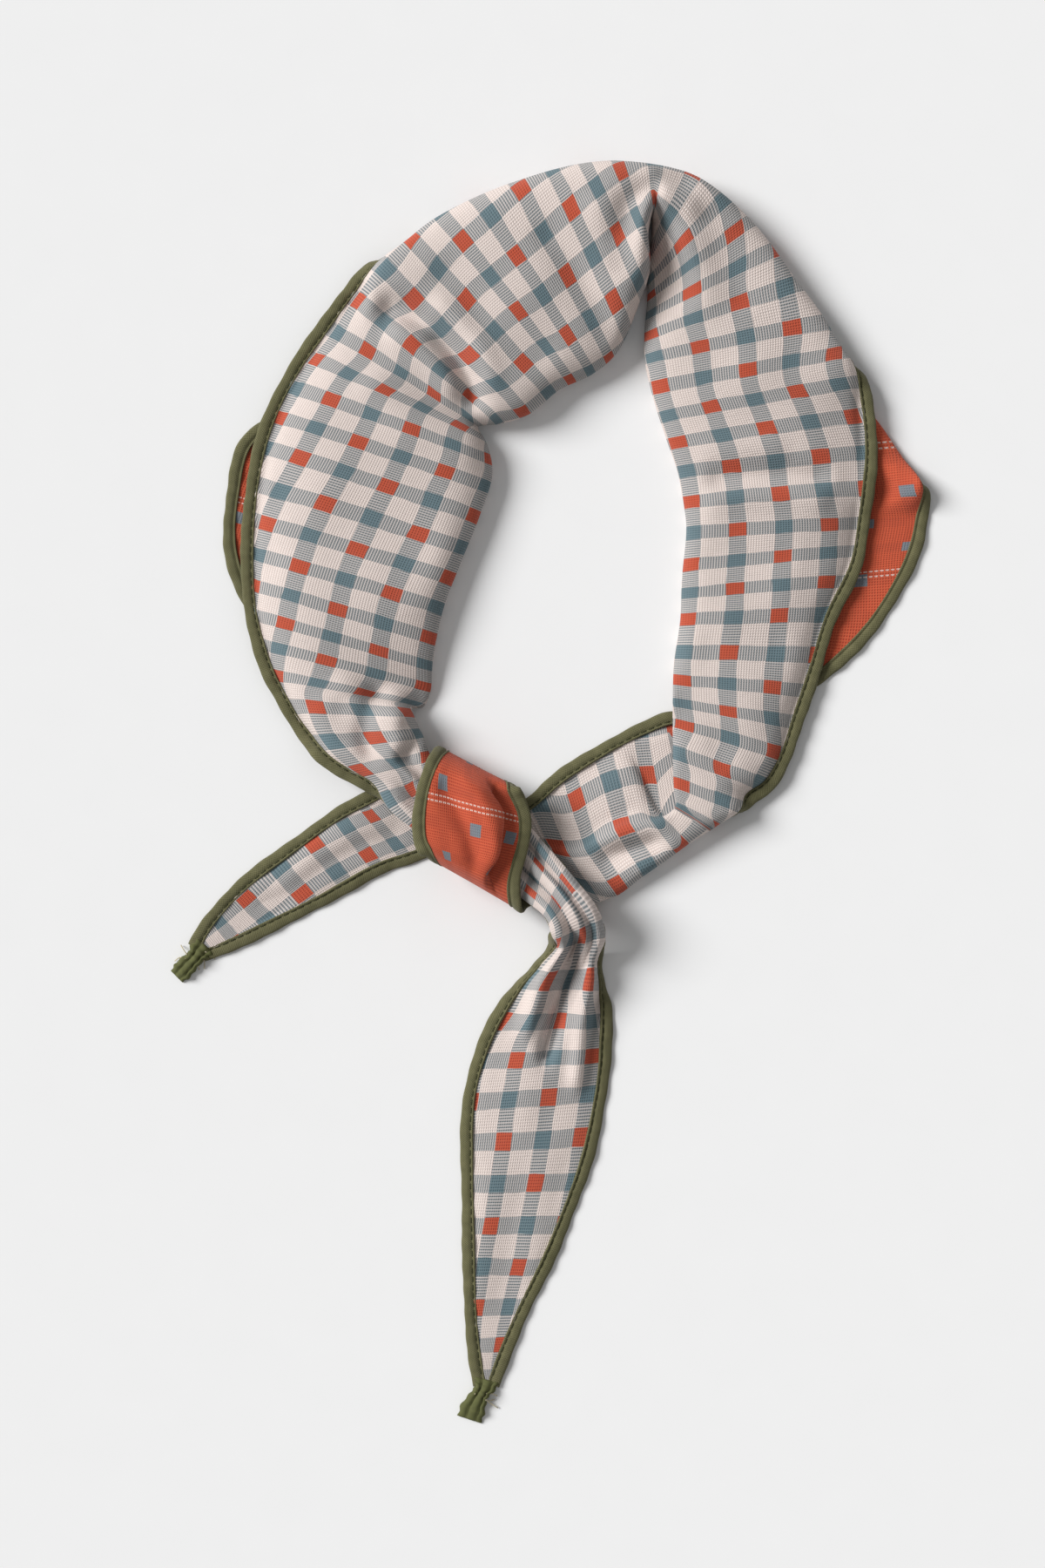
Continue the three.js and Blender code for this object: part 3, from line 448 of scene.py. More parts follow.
# Creases that are finer than the stations: soft troughs (height below 0) and ridges. Each is
# (height, width, stations, line). Height and width are in millimetres, stations says between
# which of them the layer lies that is moved, and the line is on the plan.
CREASES = [
    # The deep trough from the dimple up and to the left, with the swells beside it.
    (-6.5, 5, (47, 54),
     [(536, 482), (541, 462), (538, 438), (522, 408), (498, 380), (462, 360), (424, 352)]),
    (2.6, 5, (47, 54),
     [(556, 466), (560, 436), (548, 408), (522, 376), (486, 350)]),
    (2.6, 5, (48, 55),
     [(520, 478), (522, 452), (508, 424), (480, 396), (440, 376)]),
    (1.4, 8, (51, 57),
     [(560, 520), (520, 520), (480, 500), (440, 462), (410, 432)]),
    (-1.3, 7, (45, 51),
     [(640, 430), (600, 398), (560, 372), (520, 330), (500, 300)]),
    # From the hood, down the left side of the fold.
    (-1.6, 5, (44, 49),
     [(700, 412), (690, 372), (668, 330), (640, 290), (612, 262)]),
    (1.2, 5, (43, 48),
     [(722, 352), (708, 312), (690, 262), (672, 226)]),
    (-1.4, 4, (42, 47),
     [(736, 300), (722, 260), (712, 222)]),
    # The rolled rim of the hood, with a trough behind it.
    (2.2, 3.4, (38, 47),
     [(743, 334), (733, 292), (741, 252), (763, 234), (787, 242), (795, 268)]),
    (-1.8, 4.5, (38, 47),
     [(714, 338), (706, 282), (720, 238), (758, 213), (804, 220)]),
    # Right of the hood.
    (1.4, 5, (37, 42),
     [(772, 262), (790, 288), (802, 330), (806, 380)]),
    (-1.2, 6, (37, 42),
     [(800, 240), (822, 278), (840, 326), (850, 372)]),
    # Soft waves across the right side.
    (-2.2, 4.5, (30, 36),
     [(800, 556), (850, 548), (900, 546), (960, 552)]),
    (1.7, 5, (30, 36),
     [(796, 580), (850, 574), (910, 572), (960, 578)]),
    (0.9, 6, (32, 37),
     [(790, 520), (850, 518), (910, 512)]),
    (-0.8, 6, (29, 34),
     [(792, 640), (850, 636), (920, 640)]),
    (-0.8, 7, (26, 32),
     [(790, 742), (850, 738), (910, 746)]),
    (-0.9, 6, (23, 29),
     [(800, 860), (850, 858), (890, 872)]),
    # Lower right arm.
    (-3.6, 4.5, (17.5, 23),
     [(772, 958), (733, 970), (700, 984), (690, 1008)]),
    (2.4, 4, (17.5, 23),
     [(776, 948), (740, 954), (706, 960), (678, 972)]),
    (-0.6, 6, (18, 23),
     [(700, 880), (716, 906), (734, 930)]),
    # The small roll where the left side gathers towards the knot.
    (3.4, 5, (57, 66),
     [(449, 782), (456, 806), (462, 836), (476, 872)]),
    (-3, 3.6, (57, 66),
     [(440, 778), (424, 816), (420, 850), (432, 884)]),
    (-1.4, 5, (57, 66),
     [(388, 794), (396, 830), (412, 866)]),
    (-1.2, 5, (58, 66),
     [(338, 796), (372, 826), (412, 850), (456, 862)]),
    (1.2, 5, (58, 66),
     [(380, 770), (410, 800), (436, 836), (470, 872)]),
    # Soft waves across the left side.
    (-0.8, 8, (53, 59),
     [(300, 560), (360, 590), (430, 604), (510, 640)]),
    (0.8, 8, (53, 60),
     [(310, 650), (370, 668), (430, 690), (488, 712)]),
    # The strip of the wrap.
    (-2, 3, (9.5, 14.5),
     [(500, 890), (522, 920), (540, 960), (552, 1008)]),
    (1.6, 2.6, (9.5, 14.5),
     [(524, 882), (552, 912), (568, 950), (576, 994)]),
    # Left tail.
    (-1.1, 4, (1.5, 6),
     [(470, 960), (430, 966), (380, 990), (330, 1024), (290, 1060)]),
    (0.9, 4, (1.5, 6),
     [(462, 936), (410, 950), (360, 984), (310, 1030)]),
    # Down tail.
    (-6, 2.6, (68, 78),
     [(664, 1060), (656, 1110), (640, 1160), (622, 1230)]),
    (3, 3, (69, 78),
     [(645, 1060), (632, 1110), (612, 1160), (600, 1200)]),
    (3, 3, (69, 79),
     [(682, 1070), (676, 1120), (668, 1180), (660, 1260)]),
    (-0.9, 6, (77, 82),
     [(640, 1250), (606, 1330), (588, 1420), (572, 1510)]),
]
CREASE_FADE = 8 * MM  # a crease fades out over this length at its ends
CREASE_ENTRY = 0.7  # and over this many stations where its layer begins and ends


def distance_to_line(points, line):
    """Distance of each point to a polyline on the plan, and how far along it is nearest."""
    best = np.full(points.shape[:-1], np.inf)
    along = np.zeros(points.shape[:-1])
    walked = 0.0
    for a, b in zip(line[:-1], line[1:]):
        way = b - a
        length = np.linalg.norm(way)
        t = np.clip(((points - a) @ way) / length**2, 0, 1)
        distance = np.linalg.norm(points - (a + t[..., None] * way), axis=-1)
        nearer = distance < best
        best = np.where(nearer, distance, best)
        along = np.where(nearer, walked + t * length, along)
        walked += length
    return best, along, walked


def add_creases(surface, positions, upper):
    """Moves the upper layer up and down along the creases."""
    moved = surface.copy()
    for height, width, (first, last), plan_line in CREASES:
        rows = (positions >= first) & (positions <= last)
        layer = surface[rows]
        line = [on_plan(point) for point in plan_line]
        distance, along, length = distance_to_line(layer[..., :2], line)
        profile = np.exp(-((distance / (width * MM)) ** 2))
        ends = smoothstep(along, 0, CREASE_FADE) * smoothstep(length - along, 0, CREASE_FADE)
        span = positions[rows]
        inside = smoothstep(span, first, first + CREASE_ENTRY)
        inside *= smoothstep(-span, -last, CREASE_ENTRY - last)
        amount = profile * ends * inside[:, None] * upper[rows]
        moved[rows, :, 2] += height * MM * amount
    return moved


SLACK_HEIGHT = 0.2 * MM


def add_slack(surface, upper):
    """The small unevenness of soft gauze, as a few crossing waves on the flat cloth."""
    column = surface[..., 3] * COLUMN_PITCH / MM
    row = surface[..., 4] * ROW_PITCH / MM
    wave = (
        np.sin(column / 7.3 + 0.6 * np.sin(row / 19))
        * np.sin(row / 11.7 + 0.8 * np.sin(column / 13))
        + 0.6 * np.sin(column / 3.9 + row / 16 + 1.3)
        + 0.5 * np.sin(row / 5.3 - column / 21 + 0.7 * np.sin(column / 9))
    )
    surface[..., 2] += SLACK_HEIGHT * wave * upper
    return surface


# The stations between which the cloth is folded. Before and after them it is one layer.
FOLDED_STATIONS = (17, 74)
# Where the upper layer begins, is full, begins to end and has ended, as shares of the way along
# a cross-section.
FOLDED_UPPER = (0.05, 0.2, 0.5, 0.72)
SINGLE_UPPER = (0.02, 0.15, 0.85, 0.98)


def share_on_top(surface, positions):
    """1 on the upper layer, easing to 0 at its edges and on the layers below."""
    place = np.linspace(0, 1, surface.shape[1])

    def upper_share(begins, full, ending, ended):
        return smoothstep(place, begins, full) * smoothstep(-place, -ended, -ending)

    single = (positions < FOLDED_STATIONS[0]) | (positions > FOLDED_STATIONS[1])
    return np.where(single[:, None], upper_share(*SINGLE_UPPER), upper_share(*FOLDED_UPPER))


def normals_of(surface):
    """The way up from the check face at each point of the surface."""
    points = surface[..., :3]
    along = np.gradient(points, axis=0)
    across = np.gradient(points, axis=1)
    up = np.cross(along, across)
    length = np.linalg.norm(up, axis=-1, keepdims=True)
    return up / np.maximum(length, 1e-12)


def new_object(name, vertices, faces, materials, face_material=None, uv=None):
    mesh = bpy.data.meshes.new(name)
    mesh.from_pydata([tuple(v) for v in vertices], [], faces)
    for material in materials:
        mesh.materials.append(material)
    if face_material is not None:
        mesh.polygons.foreach_set("material_index", face_material)
    mesh.polygons.foreach_set("use_smooth", [True] * len(mesh.polygons))
    if uv is not None:
        layer = mesh.uv_layers.new(name="flat")
        loops = np.empty(len(mesh.loops), int)
        mesh.loops.foreach_get("vertex_index", loops)
        layer.data.foreach_set("uv", np.asarray(uv)[loops].ravel())
    mesh.validate()
    mesh.update()
    piece = bpy.data.objects.new(name, mesh)
    bpy.context.scene.collection.objects.link(piece)
    return piece


def make_cloth(surface, normals, materials):
    """Two skins and a narrow rim, as one closed body."""
    rows, columns = surface.shape[:2]
    offset = normals * CLOTH_THICKNESS / 2
    skins = [surface[..., :3] + offset, surface[..., :3] - offset]
    vertices = np.concatenate([skin.reshape(-1, 3) for skin in skins])
    vertices[:, 2] = np.maximum(vertices[:, 2], GROUND_CLEARANCE)
    flat = surface[..., 3:5] * [COLUMN_PITCH, ROW_PITCH]
    uv = np.concatenate([flat.reshape(-1, 2)] * 2)
    i, j = np.meshgrid(np.arange(rows - 1), np.arange(columns - 1), indexing="ij")
    a = (i * columns + j).ravel()
    upper = np.column_stack([a, a + columns, a + columns + 1, a + 1])
    lower = upper[:, ::-1] + rows * columns
    border = list(range(columns))
    border += [r * columns + columns - 1 for r in range(1, rows)]
    border += [(rows - 1) * columns + c for c in range(columns - 2, -1, -1)]
    border += [r * columns for r in range(rows - 2, 0, -1)]
    rim = []
    for p, q in zip(border, border[1:] + border[:1]):
        rim.append((p, q, q + rows * columns, p + rows * columns))
    faces = [tuple(int(v) for v in f) for f in np.concatenate([upper, lower])] + rim
    slots = [0] * len(upper) + [1] * len(lower) + [1] * len(rim)
    return new_object("gauze", vertices, faces, materials, slots, uv)


# The tape's cross-section: (share of its width outwards, share of its half thickness).
TAPE_SECTION = [
    (0.0, 0.5), (0.02, 0.86), (0.1, 1.0), (0.19, 0.5), (0.25, 0.48), (0.34, 1.0), (0.55, 1.08),
    (0.78, 1.0), (0.93, 0.72), (1.0, 0.2),
]
TAPE_STEP = 1.1 * MM

# The tape puckers along its stitches, at a pitch that drifts, and swells slowly besides.
PUCKER_LENGTH = 1.45 * MM
PUCKER_DRIFT = 17 * MM
SWELL_LENGTH = 6.1 * MM
PUCKER_WIDTH = 0.1 * MM
SWELL_WIDTH = 0.25 * MM
PUCKER_THICKNESS = 0.2  # as a share of the tape's thickness, and only on its upper side
SWELL_THICKNESS = 0.1
PUCKER_FROM = 0.4

STITCH_PLACE = 0.22  # as a share of the tape's width
STITCH_HEIGHT = 0.62  # as a share of half the tape's thickness
STITCH_LENGTH = 2.3 * MM
STITCH_PITCH = 2.9 * MM
STITCH_RADIUS = 0.3 * MM
STITCH_FLATNESS = 0.7
STITCH_SIDES = 6
STITCH_GIRTHS = ((0, 0.0), (0.12, 0.8), (0.5, 1.0), (0.88, 0.8), (1, 0.0))
BEFORE_STITCHES = 2 * MM
AFTER_STITCHES = 4 * MM


def tape_frame(surface, normals, column, side):
    """The line, the way up and the way out along one edge of the cloth."""
    line = surface[:, column, :3]
    up = normals[:, column]
    along = np.gradient(line, axis=0)
    along /= np.linalg.norm(along, axis=1, keepdims=True)
    out = np.cross(up, along) * side
    out /= np.linalg.norm(out, axis=1, keepdims=True)
    return line, up, out


def tape_point(line, up, out, place, height, walked, side):
    """A point on the tape. The tape puckers a little along its stitches."""
    pucker = np.sin(walked / PUCKER_LENGTH + 2 * np.sin(walked / PUCKER_DRIFT))
    swell = np.sin(walked / SWELL_LENGTH + 1.7 * side)
    width = TAPE_WIDTH + TAPE_OVERLAP + SWELL_WIDTH * swell + PUCKER_WIDTH * pucker
    puckered = PUCKER_THICKNESS * pucker * (height > PUCKER_FROM)
    half = TAPE_THICKNESS / 2 * (1 + puckered + SWELL_THICKNESS * swell)
    distance = place * width - TAPE_OVERLAP
    return line + out * distance[:, None] + up * (height * half)[:, None]


def make_tape(name, surface, normals, column, side, material):
    """One tape sewn along an edge of the cloth, with the path that its stitches follow."""
    line, up, out = tape_frame(surface, normals, column, side)
    steps = np.linalg.norm(np.diff(line, axis=0), axis=1)
    walked = np.concatenate([[0], np.cumsum(steps)])
    fine = np.arange(0, walked[-1], TAPE_STEP)
    line, up, out = (
        np.column_stack([np.interp(fine, walked, v[:, k]) for k in range(3)])
        for v in (line, up, out)
    )
    section = TAPE_SECTION + [(place, -height) for place, height in reversed(TAPE_SECTION)]
    rings = np.stack(
        [tape_point(line, up, out, place, height, fine, side) for place, height in section],
        axis=1,
    )
    lift = np.maximum(GROUND_CLEARANCE - rings[..., 2].min(axis=1), 0)
    rings[..., 2] += lift[:, None]
    rows, corners = rings.shape[:2]
    faces = []
    for i in range(rows - 1):
        for k in range(corners):
            a, b = i * corners + k, i * corners + (k + 1) % corners
            quad = (a, b, b + corners, a + corners)
            faces.append(quad if side > 0 else quad[::-1])
    caps = [tuple(range(corners)), tuple(range((rows - 1) * corners, rows * corners))[::-1]]
    faces += [cap[::-1] for cap in caps] if side > 0 else caps
    around = np.array([place * TAPE_WIDTH * (1 if h > 0 else -1) for place, h in section])
    uv = np.stack(np.broadcast_arrays(around[None, :], fine[:, None]), axis=-1).reshape(-1, 2)
    piece = new_object(name, rings.reshape(-1, 3), faces, [material], uv=uv)
    return piece, (line, up, out, fine, lift)


def make_stitches(name, path, side, material):
    """One row of stitches, each a small spindle lying in the tape's groove."""
    line, up, out, fine, lift = path
    vertices, faces = [], []
    ring = STITCH_SIDES
    centre = tape_point(line, up, out, STITCH_PLACE, STITCH_HEIGHT, fine, side)
    centre[:, 2] += lift
    for start in np.arange(BEFORE_STITCHES, fine[-1] - AFTER_STITCHES, STITCH_PITCH):
        rows = []
        for share, girth in STITCH_GIRTHS:
            at = start + share * STITCH_LENGTH
            c, u, o = (
                np.array([np.interp(at, fine, v[:, k]) for k in range(3)])
                for v in (centre, up, out)
            )
            radius = STITCH_RADIUS * girth
            if girth == 0:
                rows.append([c - u * STITCH_RADIUS])
                continue
            rows.append([
                c + o * radius * math.cos(angle) + u * radius * STITCH_FLATNESS * math.sin(angle)
                for angle in (2 * math.pi * k / ring for k in range(ring))
            ])
        base = len(vertices)
        vertices += [v for row in rows for v in row]
        tip, end = base, base + 1 + 3 * ring
        for k in range(ring):
            n = (k + 1) % ring
            faces.append((tip, base + 1 + k, base + 1 + n))
            faces.append((end, base + 1 + 2 * ring + n, base + 1 + 2 * ring + k))
            for r in range(2):
                p, q = base + 1 + r * ring + k, base + 1 + r * ring + n
                faces.append((p, p + ring, q + ring, q))
    return new_object(name, vertices, faces, [material])


# The ends of the two tapes, folded up together at each tip of the cloth.
# Each row is (centre on the plan, half width in plan units, height in millimetres).
TIPS = {
    "left_tip": [
        ((236, 1085), 14, 2.2), ((230, 1091), 13, 3.2), ((225, 1098), 10, 4.0),
        ((217, 1106), 11, 3.2), ((209, 1115), 11.5, 2.8), ((203, 1121), 9, 1.9),
    ],
    "down_tip": [
        ((559, 1583), 15, 2.2), ((557, 1590), 13, 2.8), ((553, 1597), 10, 4.0),
        ((549, 1604), 11, 3.2), ((543, 1617), 14.5, 2.7), ((539, 1629), 14, 1.8),
    ],
}
# Across a tip: (place from its right edge at -1 to its left at 1, share of its height). The
# grooves are where the folded layers lie against one another.
TIP_SECTION = [
    (-1, 0.3), (-0.92, 0.66), (-0.7, 0.86), (-0.45, 0.84), (-0.32, 0.6), (-0.2, 0.88),
    (0.1, 1.0), (0.36, 0.94), (0.48, 0.68), (0.6, 0.9), (0.84, 0.8), (0.97, 0.5), (1, 0.25),
    (0.9, 0.02), (0.3, 0.0), (-0.3, 0.0), (-0.9, 0.02),
]
TIP_STEPS = 6
TIP_END_HEIGHT = 0.55  # the share of its height that the end comes down to
TIP_END_RINGS = 3
TIP_SWELL = 0.07
TIP_SWELL_TURN = 1.1  # radians from ring to ring

# Loose thread ends: points on the plan with their height in millimetres.
THREADS = {
    "left_tip": [
        [(216, 1096, 3), (211, 1089, 2.4), (208, 1085, 0.6)],
        [(222, 1102, 3), (227, 1108, 1.6), (229, 1113, 0.5)],
        [(232, 1096, 2.6), (235, 1104, 1.2), (235, 1112, 0.5)],
        [(214, 1100, 2.8), (207, 1099, 1.4), (201, 1103, 0.6)],
        [(236, 1092, 2.4), (243, 1096, 0.9), (247, 1101, 0.4)],
    ],
    "down_tip": [
        [(556, 1603, 3), (563, 1610, 1.4), (572, 1616, 0.5)],
        [(558, 1598, 3), (566, 1599, 2.0), (571, 1602, 0.8)],
        [(557, 1606, 2.6), (562, 1607, 1.4), (568, 1606, 0.7)],
        [(546, 1598, 3), (541, 1603, 1.4), (537, 1602, 0.6)],
    ],
}
THREAD_RADIUS = 0.2 * MM
THREAD_SIDES = 5
THREAD_RINGS = 9


def tube_rings(rings):
    """Vertices and faces of a closed tube through rings of equal length."""
    corners = len(rings[0])
    vertices = [point for ring in rings for point in ring]
    faces = []
    for i in range(len(rings) - 1):
        for k in range(corners):
            a, b = i * corners + k, i * corners + (k + 1) % corners
            faces.append((a, a + corners, b + corners, b))
    faces.append(tuple(range(corners)))
    faces.append(tuple(range((len(rings) - 1) * corners, len(rings) * corners))[::-1])
    return vertices, faces


def make_tip(name, material):
    """The folded tape ends, a little lumpy, narrowing to a soft end."""
    rows = np.array([(*on_plan(c), h * MM, w * PLAN_UNIT) for c, w, h in TIPS[name]])
    fine = curve_through(rows, np.linspace(0, len(rows) - 1, (len(rows) - 1) * TIP_STEPS + 1))
    ways = np.gradient(fine[:, :2], axis=0)
    ways /= np.linalg.norm(ways, axis=1, keepdims=True)
    rings = []
    count = len(fine)
    for i, ((x, y, height, half), (dx, dy)) in enumerate(zip(fine, ways)):
        end = min(1.0, TIP_END_HEIGHT + (1 - TIP_END_HEIGHT) * (count - 1 - i) / TIP_END_RINGS)
        swell = 1 + TIP_SWELL * math.sin(i * TIP_SWELL_TURN)
        rings.append([
            (x - dy * place * half * swell, y + dx * place * half * swell,
             GROUND_CLEARANCE + share * height * swell * end)
            for place, share in TIP_SECTION
        ])
    vertices, faces = tube_rings(rings)
    return new_object(name, vertices, faces, [material])


def make_threads(name, tip, material):
    """The frayed thread ends of one tip, as one mesh of thin tubes."""
    vertices, faces = [], []
    for points in THREADS[tip]:
        controls = np.array([(*on_plan((x, y)), z * MM) for x, y, z in points])
        path = curve_through(controls, np.linspace(0, len(controls) - 1, THREAD_RINGS))
        rings = []
        for i, point in enumerate(path):
            way = path[min(i + 1, len(path) - 1)] - path[max(i - 1, 0)]
            side = unit(np.cross(way, (0, 0, 1)))
            up = unit(np.cross(side, way))
            rings.append([
                point + (side * math.cos(a) + up * math.sin(a)) * THREAD_RADIUS
                for a in (2 * math.pi * k / THREAD_SIDES for k in range(THREAD_SIDES))
            ])
        more, sides = tube_rings(rings)
        base = len(vertices)
        vertices += [tuple(v) for v in more]
        faces += [tuple(base + v for v in face) for face in sides]
    return new_object(name, vertices, faces, [material])


# Materials.

def srgb(colour):
    """A colour written as an sRGB hex value, as linear red, green, blue and alpha."""
    channels = [int(colour[k:k + 2], 16) / 255 for k in (1, 3, 5)]
    linear = [c / 12.92 if c <= 0.04045 else ((c + 0.055) / 1.055) ** 2.4 for c in channels]
    return (*linear, 1.0)


def add_node(tree, kind, settings=None, **inputs):
    """Adds a node. An input is a value, or the output socket of another node."""
    node = tree.nodes.new(kind)
    for key, value in (settings or {}).items():
        setattr(node, key, value)
    for key, value in inputs.items():
        socket = node.inputs[int(key[1:])] if key[1:].isdigit() else node.inputs[key]
        if isinstance(value, bpy.types.NodeSocket):
            tree.links.new(value, socket)
        else:
            socket.default_value = value
    return node


def maths(tree, operation, a, b=0.0, c=0.0):
    """One Math node's result."""
    return add_node(tree, "ShaderNodeMath", {"operation": operation}, _0=a, _1=b, _2=c).outputs[0]


def mixed(tree, share, a, b):
    """Colour a to colour b by share."""
    node = add_node(tree, "ShaderNodeMix", {"data_type": "RGBA"}, _0=share, _6=a, _7=b)
    return node.outputs[2]


def flat_coordinates(tree):
    """Millimetres across and along the flat piece, from its UV map."""
    uv = add_node(tree, "ShaderNodeUVMap", {"uv_map": "flat"})
    axes = add_node(tree, "ShaderNodeSeparateXYZ", Vector=uv.outputs[0])
    return maths(tree, "DIVIDE", axes.outputs[0], MM), maths(tree, "DIVIDE", axes.outputs[1], MM)


def noise(tree, across, along, size, detail=2.0):
    """Noise with blobs about size millimetres wide, from 0 to 1."""
    place = add_node(tree, "ShaderNodeCombineXYZ", X=across, Y=along)
    node = add_node(tree, "ShaderNodeTexNoise", Vector=place.outputs[0], Scale=1 / size,
                    Detail=detail)
    return node.outputs[0]


def thread_wave(tree, place, pitch):
    """0 to 1 across each thread."""
    angle = maths(tree, "MULTIPLY", place, 2 * math.pi / pitch)
    return maths(tree, "MULTIPLY_ADD", maths(tree, "SINE", angle), 0.5, 0.5)


def stripe(tree, place, repeat, width):
    """1 inside a stripe of this width, centred on every repeat."""
    snapped = maths(tree, "SNAP", maths(tree, "ADD", place, repeat / 2), repeat)
    away = maths(tree, "ABSOLUTE", maths(tree, "SUBTRACT", place, snapped))
    return maths(tree, "LESS_THAN", away, width / 2), snapped


def odd_crossing(tree, column, row):
    """1 where the column's and the row's numbers add up to an odd number."""
    numbers = maths(tree, "ADD", maths(tree, "DIVIDE", column, COLUMN_PITCH / MM),
                    maths(tree, "DIVIDE", row, ROW_PITCH / MM))
    # Half of an odd number has a fraction of 0.5. The 0.01 keeps an even one's above 0.
    half = maths(tree, "MULTIPLY", maths(tree, "ROUND", numbers), 0.5)
    return maths(tree, "GREATER_THAN", maths(tree, "FRACT", maths(tree, "ADD", half, 0.01)), 0.3)


COTTON_SPECULAR = 0.25


def finish_material(material, tree, colour, roughness, height, relief, **extra):
    """Joins the colour and the relief, which is a depth in metres, to the material's shader."""
    bump = add_node(tree, "ShaderNodeBump", Strength=1.0, Distance=relief, Height=height)
    shader = tree.nodes["Principled BSDF"]
    tree.links.new(colour, shader.inputs["Base Color"])
    tree.links.new(bump.outputs[0], shader.inputs["Normal"])
    shader.inputs["Roughness"].default_value = roughness
    shader.inputs["Specular IOR Level"].default_value = COTTON_SPECULAR
    for key, value in extra.items():
        shader.inputs[key.replace("_", " ")].default_value = value
    return material


def new_material(name):
    material = bpy.data.materials.new(name)
    material.use_nodes = True
    return material, material.node_tree


# The threads are drawn a little coarser than real gauze, so that they show.
THREAD_PITCH = 0.95
GAUZE_RELIEF = 0.17 * MM
STRIPE_ACROSS = 6.5  # width of the stripes that run along the cloth
STRIPE_ALONG = 5.6  # and of those that run across it
WANDER_SIZE = 14  # the stripes wander over this length
WANDER = 1.6  # and by up to half of this to each side
THREAD_SHADE = 0.8  # how far the threads of the other way cover a stripe's colour


def thread_relief(tree, across, along):
    """The surface of a plain weave: threads both ways, with uneven slubs."""
    warp = thread_wave(tree, across, THREAD_PITCH)
    weft = thread_wave(tree, along, THREAD_PITCH)
    slub = noise(tree, maths(tree, "MULTIPLY", across, 0.25), along, 0.9)
    both = maths(tree, "MAXIMUM", warp, weft)
    return warp, weft, maths(tree, "MULTIPLY_ADD", slub, 0.8, both)


def make_check_gauze():
    """Woven cotton double gauze, checked face: matt, soft, with separate threads to be seen."""
    material, tree = new_material("woven_check_gauze")
    straight_across, straight_along = flat_coordinates(tree)
    # Stripes wander a little, as in a loose weave.
    wander = maths(tree, "SUBTRACT", noise(tree, straight_across, straight_along, WANDER_SIZE),
                   0.5)
    across = maths(tree, "MULTIPLY_ADD", wander, WANDER, straight_across)
    along = maths(tree, "MULTIPLY_ADD", wander, -WANDER, straight_along)
    warp, weft, relief = thread_relief(tree, straight_across, straight_along)
    in_column, column = stripe(tree, across, COLUMN_PITCH / MM, STRIPE_ACROSS)
    in_row, row = stripe(tree, along, ROW_PITCH / MM, STRIPE_ALONG)
    odd = odd_crossing(tree, column, row)

    ground_share = maths(tree, "MULTIPLY", warp, THREAD_SHADE)
    ground = mixed(tree, ground_share, srgb("#E9DCD5"), srgb("#C8B7AF"))
    dyed, undyed = srgb("#5F6C71"), srgb("#D3C9C4")
    column_stripe, row_stripe = (
        mixed(tree, maths(tree, "MULTIPLY_ADD", threads, THREAD_SHADE, 0.08), dyed, undyed)
        for threads in (weft, warp)
    )
    blue = mixed(tree, weft, srgb("#546B73"), srgb("#6C7F85"))
    rust = mixed(tree, weft, srgb("#B14328"), srgb("#C25435"))
    crossing = mixed(tree, odd, rust, blue)
    colour = mixed(tree, in_column, ground, column_stripe)
    colour = mixed(tree, maths(tree, "MULTIPLY", in_row, maths(tree, "SUBTRACT", 1.0, in_column)),
                   colour, row_stripe)
    colour = mixed(tree, maths(tree, "MULTIPLY", in_row, in_column), colour, crossing)
    uneven = noise(tree, straight_across, straight_along, 5, detail=4.0)
    colour = mixed(tree, maths(tree, "MULTIPLY", uneven, 0.10), colour, srgb("#8A8A8C"))
    return finish_material(material, tree, colour, 0.92, relief, GAUZE_RELIEF,
                           Sheen_Weight=0.12, Sheen_Roughness=0.6)


# The reverse's double lines come once in this many rows, first at this row.
REVERSE_LINE_ROWS = 4.19
REVERSE_FIRST_LINE = 1.35
# Millimetres: between the two lines, across each line, and across and along a small square.
REVERSE_LINE_GAP = 2.0
REVERSE_LINE_WIDTH = 0.55
REVERSE_SQUARE = (5.4, 4.6)


def make_reverse_gauze():
    """The reverse of the same double gauze: rust-orange cotton with small squares and a thin
    broken double line now and then."""
    material, tree = new_material("woven_rust_gauze")
    across, along = flat_coordinates(tree)
    _, weft, relief = thread_relief(tree, across, along)
    in_column, column = stripe(tree, across, COLUMN_PITCH / MM, REVERSE_SQUARE[0])
    in_row, row = stripe(tree, along, ROW_PITCH / MM, REVERSE_SQUARE[1])
    odd = odd_crossing(tree, column, row)
    colour = mixed(tree, weft, srgb("#BE4B30"), srgb("#D06241"))
    band = maths(tree, "MULTIPLY", maths(tree, "MAXIMUM", in_column, in_row), 0.16)
    colour = mixed(tree, band, colour, srgb("#8C3A2A"))
    square = maths(tree, "MULTIPLY", maths(tree, "MULTIPLY", in_column, in_row), odd)
    colour = mixed(tree, square, colour, srgb("#6E838C"))
    repeat = REVERSE_LINE_ROWS * ROW_PITCH / MM
    for side in (-0.5, 0.5):
        shift = REVERSE_FIRST_LINE * ROW_PITCH / MM + side * REVERSE_LINE_GAP
        line, _ = stripe(tree, maths(tree, "SUBTRACT", along, shift), repeat, REVERSE_LINE_WIDTH)
        broken = maths(tree, "GREATER_THAN", thread_wave(tree, across, 2 * THREAD_PITCH), 0.25)
        share = maths(tree, "MULTIPLY", maths(tree, "MULTIPLY", line, broken), 0.8)
        colour = mixed(tree, share, colour, srgb("#F0DDD3"))
    uneven = noise(tree, across, along, 4, detail=4.0)
    colour = mixed(tree, maths(tree, "MULTIPLY", uneven, 0.22), colour, srgb("#B0452F"))
    return finish_material(material, tree, colour, 0.92, relief, GAUZE_RELIEF,
                           Sheen_Weight=0.12, Sheen_Roughness=0.6)


TAPE_THREAD_PITCH = 0.7
TAPE_RELIEF = 0.12 * MM


